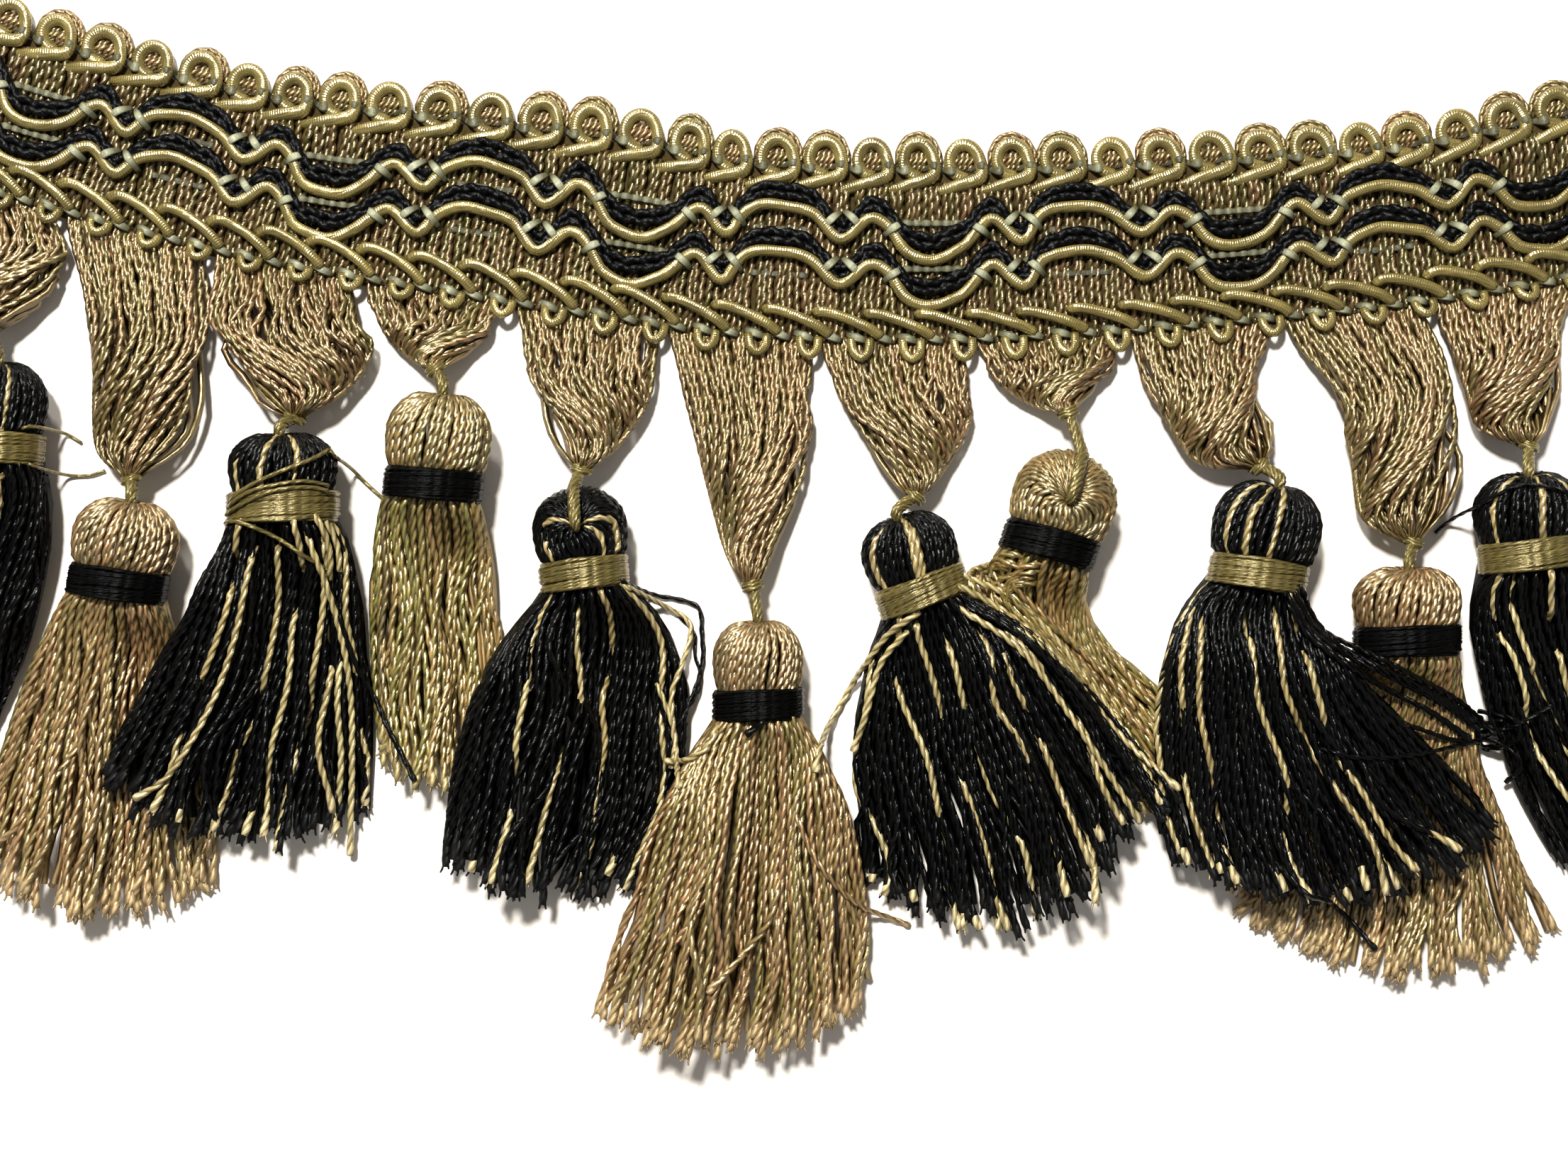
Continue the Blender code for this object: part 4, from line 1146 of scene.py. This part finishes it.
# Each strand's route over what it lies on; copies lie beside each other as a lock.
STRAYS = table(
    "finish radius cut copies points",
    ("gold_yarn", 0.5, 2.5, 1, [(4.6, -88), (2.8, -94.6), (-1, -99.5), (-5.5, -104)]),
    ("gold_yarn", 0.45, 1, 1, [(6.3, -79), (8.8, -85), (12, -89.5), (16.5, -93.5), (22.7, -96.3)]),
    ("cream_yarn", 0.5, 2, 1, [(-4, -67.5), (-5.5, -70.5), (-8.5, -72.4), (-11.6, -73.1)]),
    ("black_yarn", 0.38, 0, 1,
     [(-18, -47.4), (-13.6, -49.6), (-9.6, -50.4), (-7, -51.6), (-6.6, -55), (-6.6, -60), (-9, -67)]),
    ("black_yarn", 0.3, 0, 1,
     [(-17.5, -48.4), (-11.6, -51.4), (-7.8, -54.9), (-7.6, -58), (-6.8, -62.5), (-10, -68)]),
    ("cream_yarn", 0.45, 2, 1,
     [(-18, -47.8), (-11.6, -51.4), (-8.2, -54), (-9.2, -59.3), (-10.7, -64), (-10, -72), (-9.2, -76)]),
    ("cream_yarn", 0.4, 2, 1, [(-13, -61.5), (-11.4, -65.5), (-10.2, -69.7), (-10.8, -74)]),
    ("black_yarn", 0.45, 1, 1,
     [(-57.5, -49), (-54.2, -59.8), (-51.4, -65.3), (-48.6, -70.6), (-45.9, -75.3)]),
    ("cream_yarn", 0.5, 2, 1, [(-60, -41), (-57.3, -50), (-55.4, -61), (-55.2, -73), (-55.9, -86.3)]),
    ("cream_yarn", 0.5, 2, 1, [(-67, -43), (-69.5, -55), (-73, -65), (-78.5, -74), (-83.5, -77.5)]),
    ("gold_floss", 0.3, 0, 1,
     [(-70.8, -37.1), (-67.2, -34.9), (-63.4, -33.2), (-59.3, -31.4), (-57.2, -29.8)]),
    ("gold_floss", 0.28, 0, 1, [(-57.6, -29.6), (-56.4, -31), (-54.3, -33.6), (-51.2, -36.4)]),
    ("gold_floss", 0.3, 0, 1, [(-71, -37.9), (-67.6, -35.9), (-63.6, -34.8), (-59.9, -34.3), (-57.1, -34.8)]),
    ("gold_floss", 0.3, 0, 1, [(-71.2, -38.8), (-66.8, -36.7), (-63.2, -35.5), (-59.2, -35.1), (-57, -35.6)]),
    ("gold_floss", 0.3, 0, 1,
     [(-73.2, -40.2), (-70, -39.7), (-67.6, -40.2), (-63.5, -42.2), (-60, -44.6), (-57.9, -46)]),
    ("gold_floss", 0.25, 0, 1, [(-99.5, -27), (-97.9, -26.6), (-96.2, -27), (-94, -28.3)]),
    ("gold_floss", 0.25, 0, 1, [(-99, -31.5), (-96.2, -32.8), (-93, -32.9), (-90.7, -32.2)]),
    ("cream_yarn", 0.5, 2, 1,
     [(23.5, -52), (19.4, -55), (16.2, -59.5), (13.4, -64.5), (10.3, -70), (9.3, -74)]),
    ("cream_yarn", 0.5, 2, 1, [(22.5, -54), (18.4, -59), (16.4, -66), (14.6, -71.5)]),
    ("cream_yarn", 0.5, 2, 1, [(28, -48), (36, -52.5), (43.5, -59.5), (51.5, -69), (59.2, -76.4)]),
    ("cream_yarn", 0.5, 2, 1, [(28, -51), (37, -57), (44, -66), (50, -75), (54, -81)]),
    ("cream_yarn", 0.5, 2, 1, [(29.5, -47), (38, -51), (46, -60), (53.5, -70.5), (57, -78.5)]),
    ("black_yarn", 0.48, 1.5, 7, [(30, -50.5), (37.5, -55), (45, -62.5), (51.5, -71), (57.5, -80)]),
    ("black_yarn", 0.42, 1.5, 1, [(72, -86), (75.8, -90.2), (79.5, -91.6), (83.5, -94.6), (87.4, -99.1)]),
    ("black_yarn", 0.45, 1, 8, [(74.5, -49), (77.5, -54), (83, -58.3), (90, -62), (96, -65), (101.5, -68.5)]),
    ("black_yarn", 0.35, 0, 1,
     [(78, -70.5), (82.5, -71.7), (89.4, -71.7), (96.9, -70.8), (101.9, -69.9), (105.7, -68),
      (110.7, -64.9)]),
    ("black_yarn", 0.4, 1, 1, [(90, -67.3), (98.2, -69.9), (104.4, -70.2), (107.6, -73.3), (106.2, -76)]),
    ("black_yarn", 0.4, 0, 1,
     [(101.5, -58), (102.6, -62), (103.4, -67), (105.4, -70), (103, -71), (101.9, -68.4), (104.8, -67)]),
    ("black_yarn", 0.4, 0, 1,
     [(102.4, -66), (106, -67), (106.6, -69.6), (103.8, -71.4), (102.2, -69.4), (105.2, -68.2)]),
    ("black_yarn", 0.3, 0, 1, [(96.8, -41), (100.1, -37.7), (104.5, -34.9), (109, -35.2), (114.5, -36.6)]),
    ("black_yarn", 0.55, 1, 1, [(2.4, -66.6), (1.2, -67.7), (-0.2, -68.8)]),
    ("honey_yarn", 0.48, 0, 7,
     [(37, -45.9), (34.3, -45.6), (32.3, -47.3), (34.6, -50.9), (41, -55.7), (48.5, -62)]),
    ("honey_yarn", 0.48, 0, 7,
     [(39.6, -46.8), (36.8, -47.4), (35.9, -49.6), (39.2, -53.2), (45.5, -59), (53, -67)]),
)


STRAY_SPREAD = 0.8  # mm between the copies of a strand, where they start and again where they end
PROBES = ((0, 0), (0.3, 0), (-0.3, 0), (0, 0.3), (0, -0.3))  # where the height under a strand is felt
PROBE_HEIGHT = 50  # mm
STRAY_SLOTS = {"black_yarn": "black_cord", "gold_floss": "gold_band"}


def make_strays():
    """Strands and thread ends that lie loose over the tassels, dropped on what is under them."""
    rng = np.random.RandomState(77)
    scene = bpy.context.scene
    graph = bpy.context.evaluated_depsgraph_get()
    graph.update()
    groups = {}
    for stray in (s for s in STRAYS for _ in range(s.copies)):
        line = through(stray.points, 8)
        if stray.copies > 1:
            line = line + rng.normal(0, STRAY_SPREAD, 2)
            line = moved(line, (np.linspace(0, 1, len(line)), rng.normal(0, STRAY_SPREAD, 2)))
        heights = []
        for x, y in line:
            spots = [((x + dx) * MM, (y + dy) * MM, PROBE_HEIGHT * MM) for dx, dy in PROBES]
            heights.append(max(scene.ray_cast(graph, spot, (0, 0, -1))[1][2] for spot in spots) / MM)
        level = np.maximum(heights, 0)
        for _ in range(4):
            held = np.pad(level, 2, mode="edge")
            level = np.maximum(level, (held[:-4] + held[1:-3] + held[3:-1] + held[4:]) / 4)
        level[:3] -= (1.5, 0.9, 0.3)  # it comes out from under what it lies on
        path = np.column_stack([line, np.maximum(level, 0) + stray.radius * 0.8])
        pitch = 0 if stray.finish == "gold_floss" else YARN_PITCH
        tint, phase = rng.uniform(0.3, 1), rng.uniform(0, 6)
        yarns = groups.setdefault(stray.finish, Yarns())
        yarns.add(path, UP, stray.radius, PLIED, pitch, 0.5, tint, phase, stray.cut)
    for finish, yarns in groups.items():
        yarns.make(f"loose_{finish}", finish, STRAY_SLOTS.get(finish, "gold_cord"))


# ---- floor, light and camera ----

FLOOR_SIZE = 4.0  # m
FLOOR_COLOURS = [(0.74, 0.7, 0.65), (0.8, 0.76, 0.71)]
FLOOR_LEVEL = -0.0002
WORLD_COLOUR = (1.0, 0.98, 0.95, 1)
WORLD_STRENGTH = 0.31
LAMPS = {"key": ((-0.13, 0.3, 0.72), 13.9), "rim": ((-0.3, 0.75, 0.4), 5.1)}  # where, and how many watts
LAMP_SIZE = 0.1
LAMP_COLOUR = (1.0, 0.97, 0.92)
VIEW_CENTRE = (5.0, -48.75)
VIEW_WIDTH = 221.2  # of the surface across the picture
LENS = 50.0
SENSOR = 36.0


def make_stage():
    bpy.ops.mesh.primitive_plane_add(size=FLOOR_SIZE, location=(0, 0, FLOOR_LEVEL))
    floor = bpy.context.object
    floor.name = "floor"
    floor.data.materials.append(speckled_finish("floor", 900.0, FLOOR_COLOURS, 0.8))
    world = bpy.data.worlds.new("studio")
    world.use_nodes = True
    colour, strength = world.node_tree.nodes["Background"].inputs[:2]
    colour.default_value, strength.default_value = WORLD_COLOUR, WORLD_STRENGTH
    bpy.context.scene.world = world
    bpy.context.scene.view_settings.view_transform = "Standard"
    for name, (place, power) in LAMPS.items():
        data = bpy.data.lights.new(name, "AREA")
        data.shape, data.size, data.energy, data.color = "DISK", LAMP_SIZE, power, LAMP_COLOUR
        lamp = link(name, data)
        lamp.location = place
        lamp.rotation_mode = "QUATERNION"
        towards = Vector((VIEW_CENTRE[0] * MM, VIEW_CENTRE[1] * MM, 0)) - Vector(place)
        lamp.rotation_quaternion = towards.to_track_quat("-Z", "Y")


def make_camera():
    data = bpy.data.cameras.new("camera")
    data.lens, data.sensor_width = LENS, SENSOR
    data.clip_start, data.clip_end = 0.01, 10
    camera = link("camera", data)
    x, y = VIEW_CENTRE
    camera.location = (x * MM, y * MM, VIEW_WIDTH * MM * LENS / SENSOR)
    bpy.context.scene.camera = camera


def main():
    make_camera()
    make_stage()
    cloth = make_cloth()
    on_cloth = [make_ground(), *make_scrolls(), *make_waves(), make_stitches(), make_lower_gimp()]
    for index, (skirt, tassel) in enumerate(zip(SKIRT_TABLE, TASSELS)):
        make_bundle(index, skirt)
        make_tie(index, skirt, tassel)
        make_tassel(index, tassel)
        make_band(index, tassel)
    make_strays()


main()
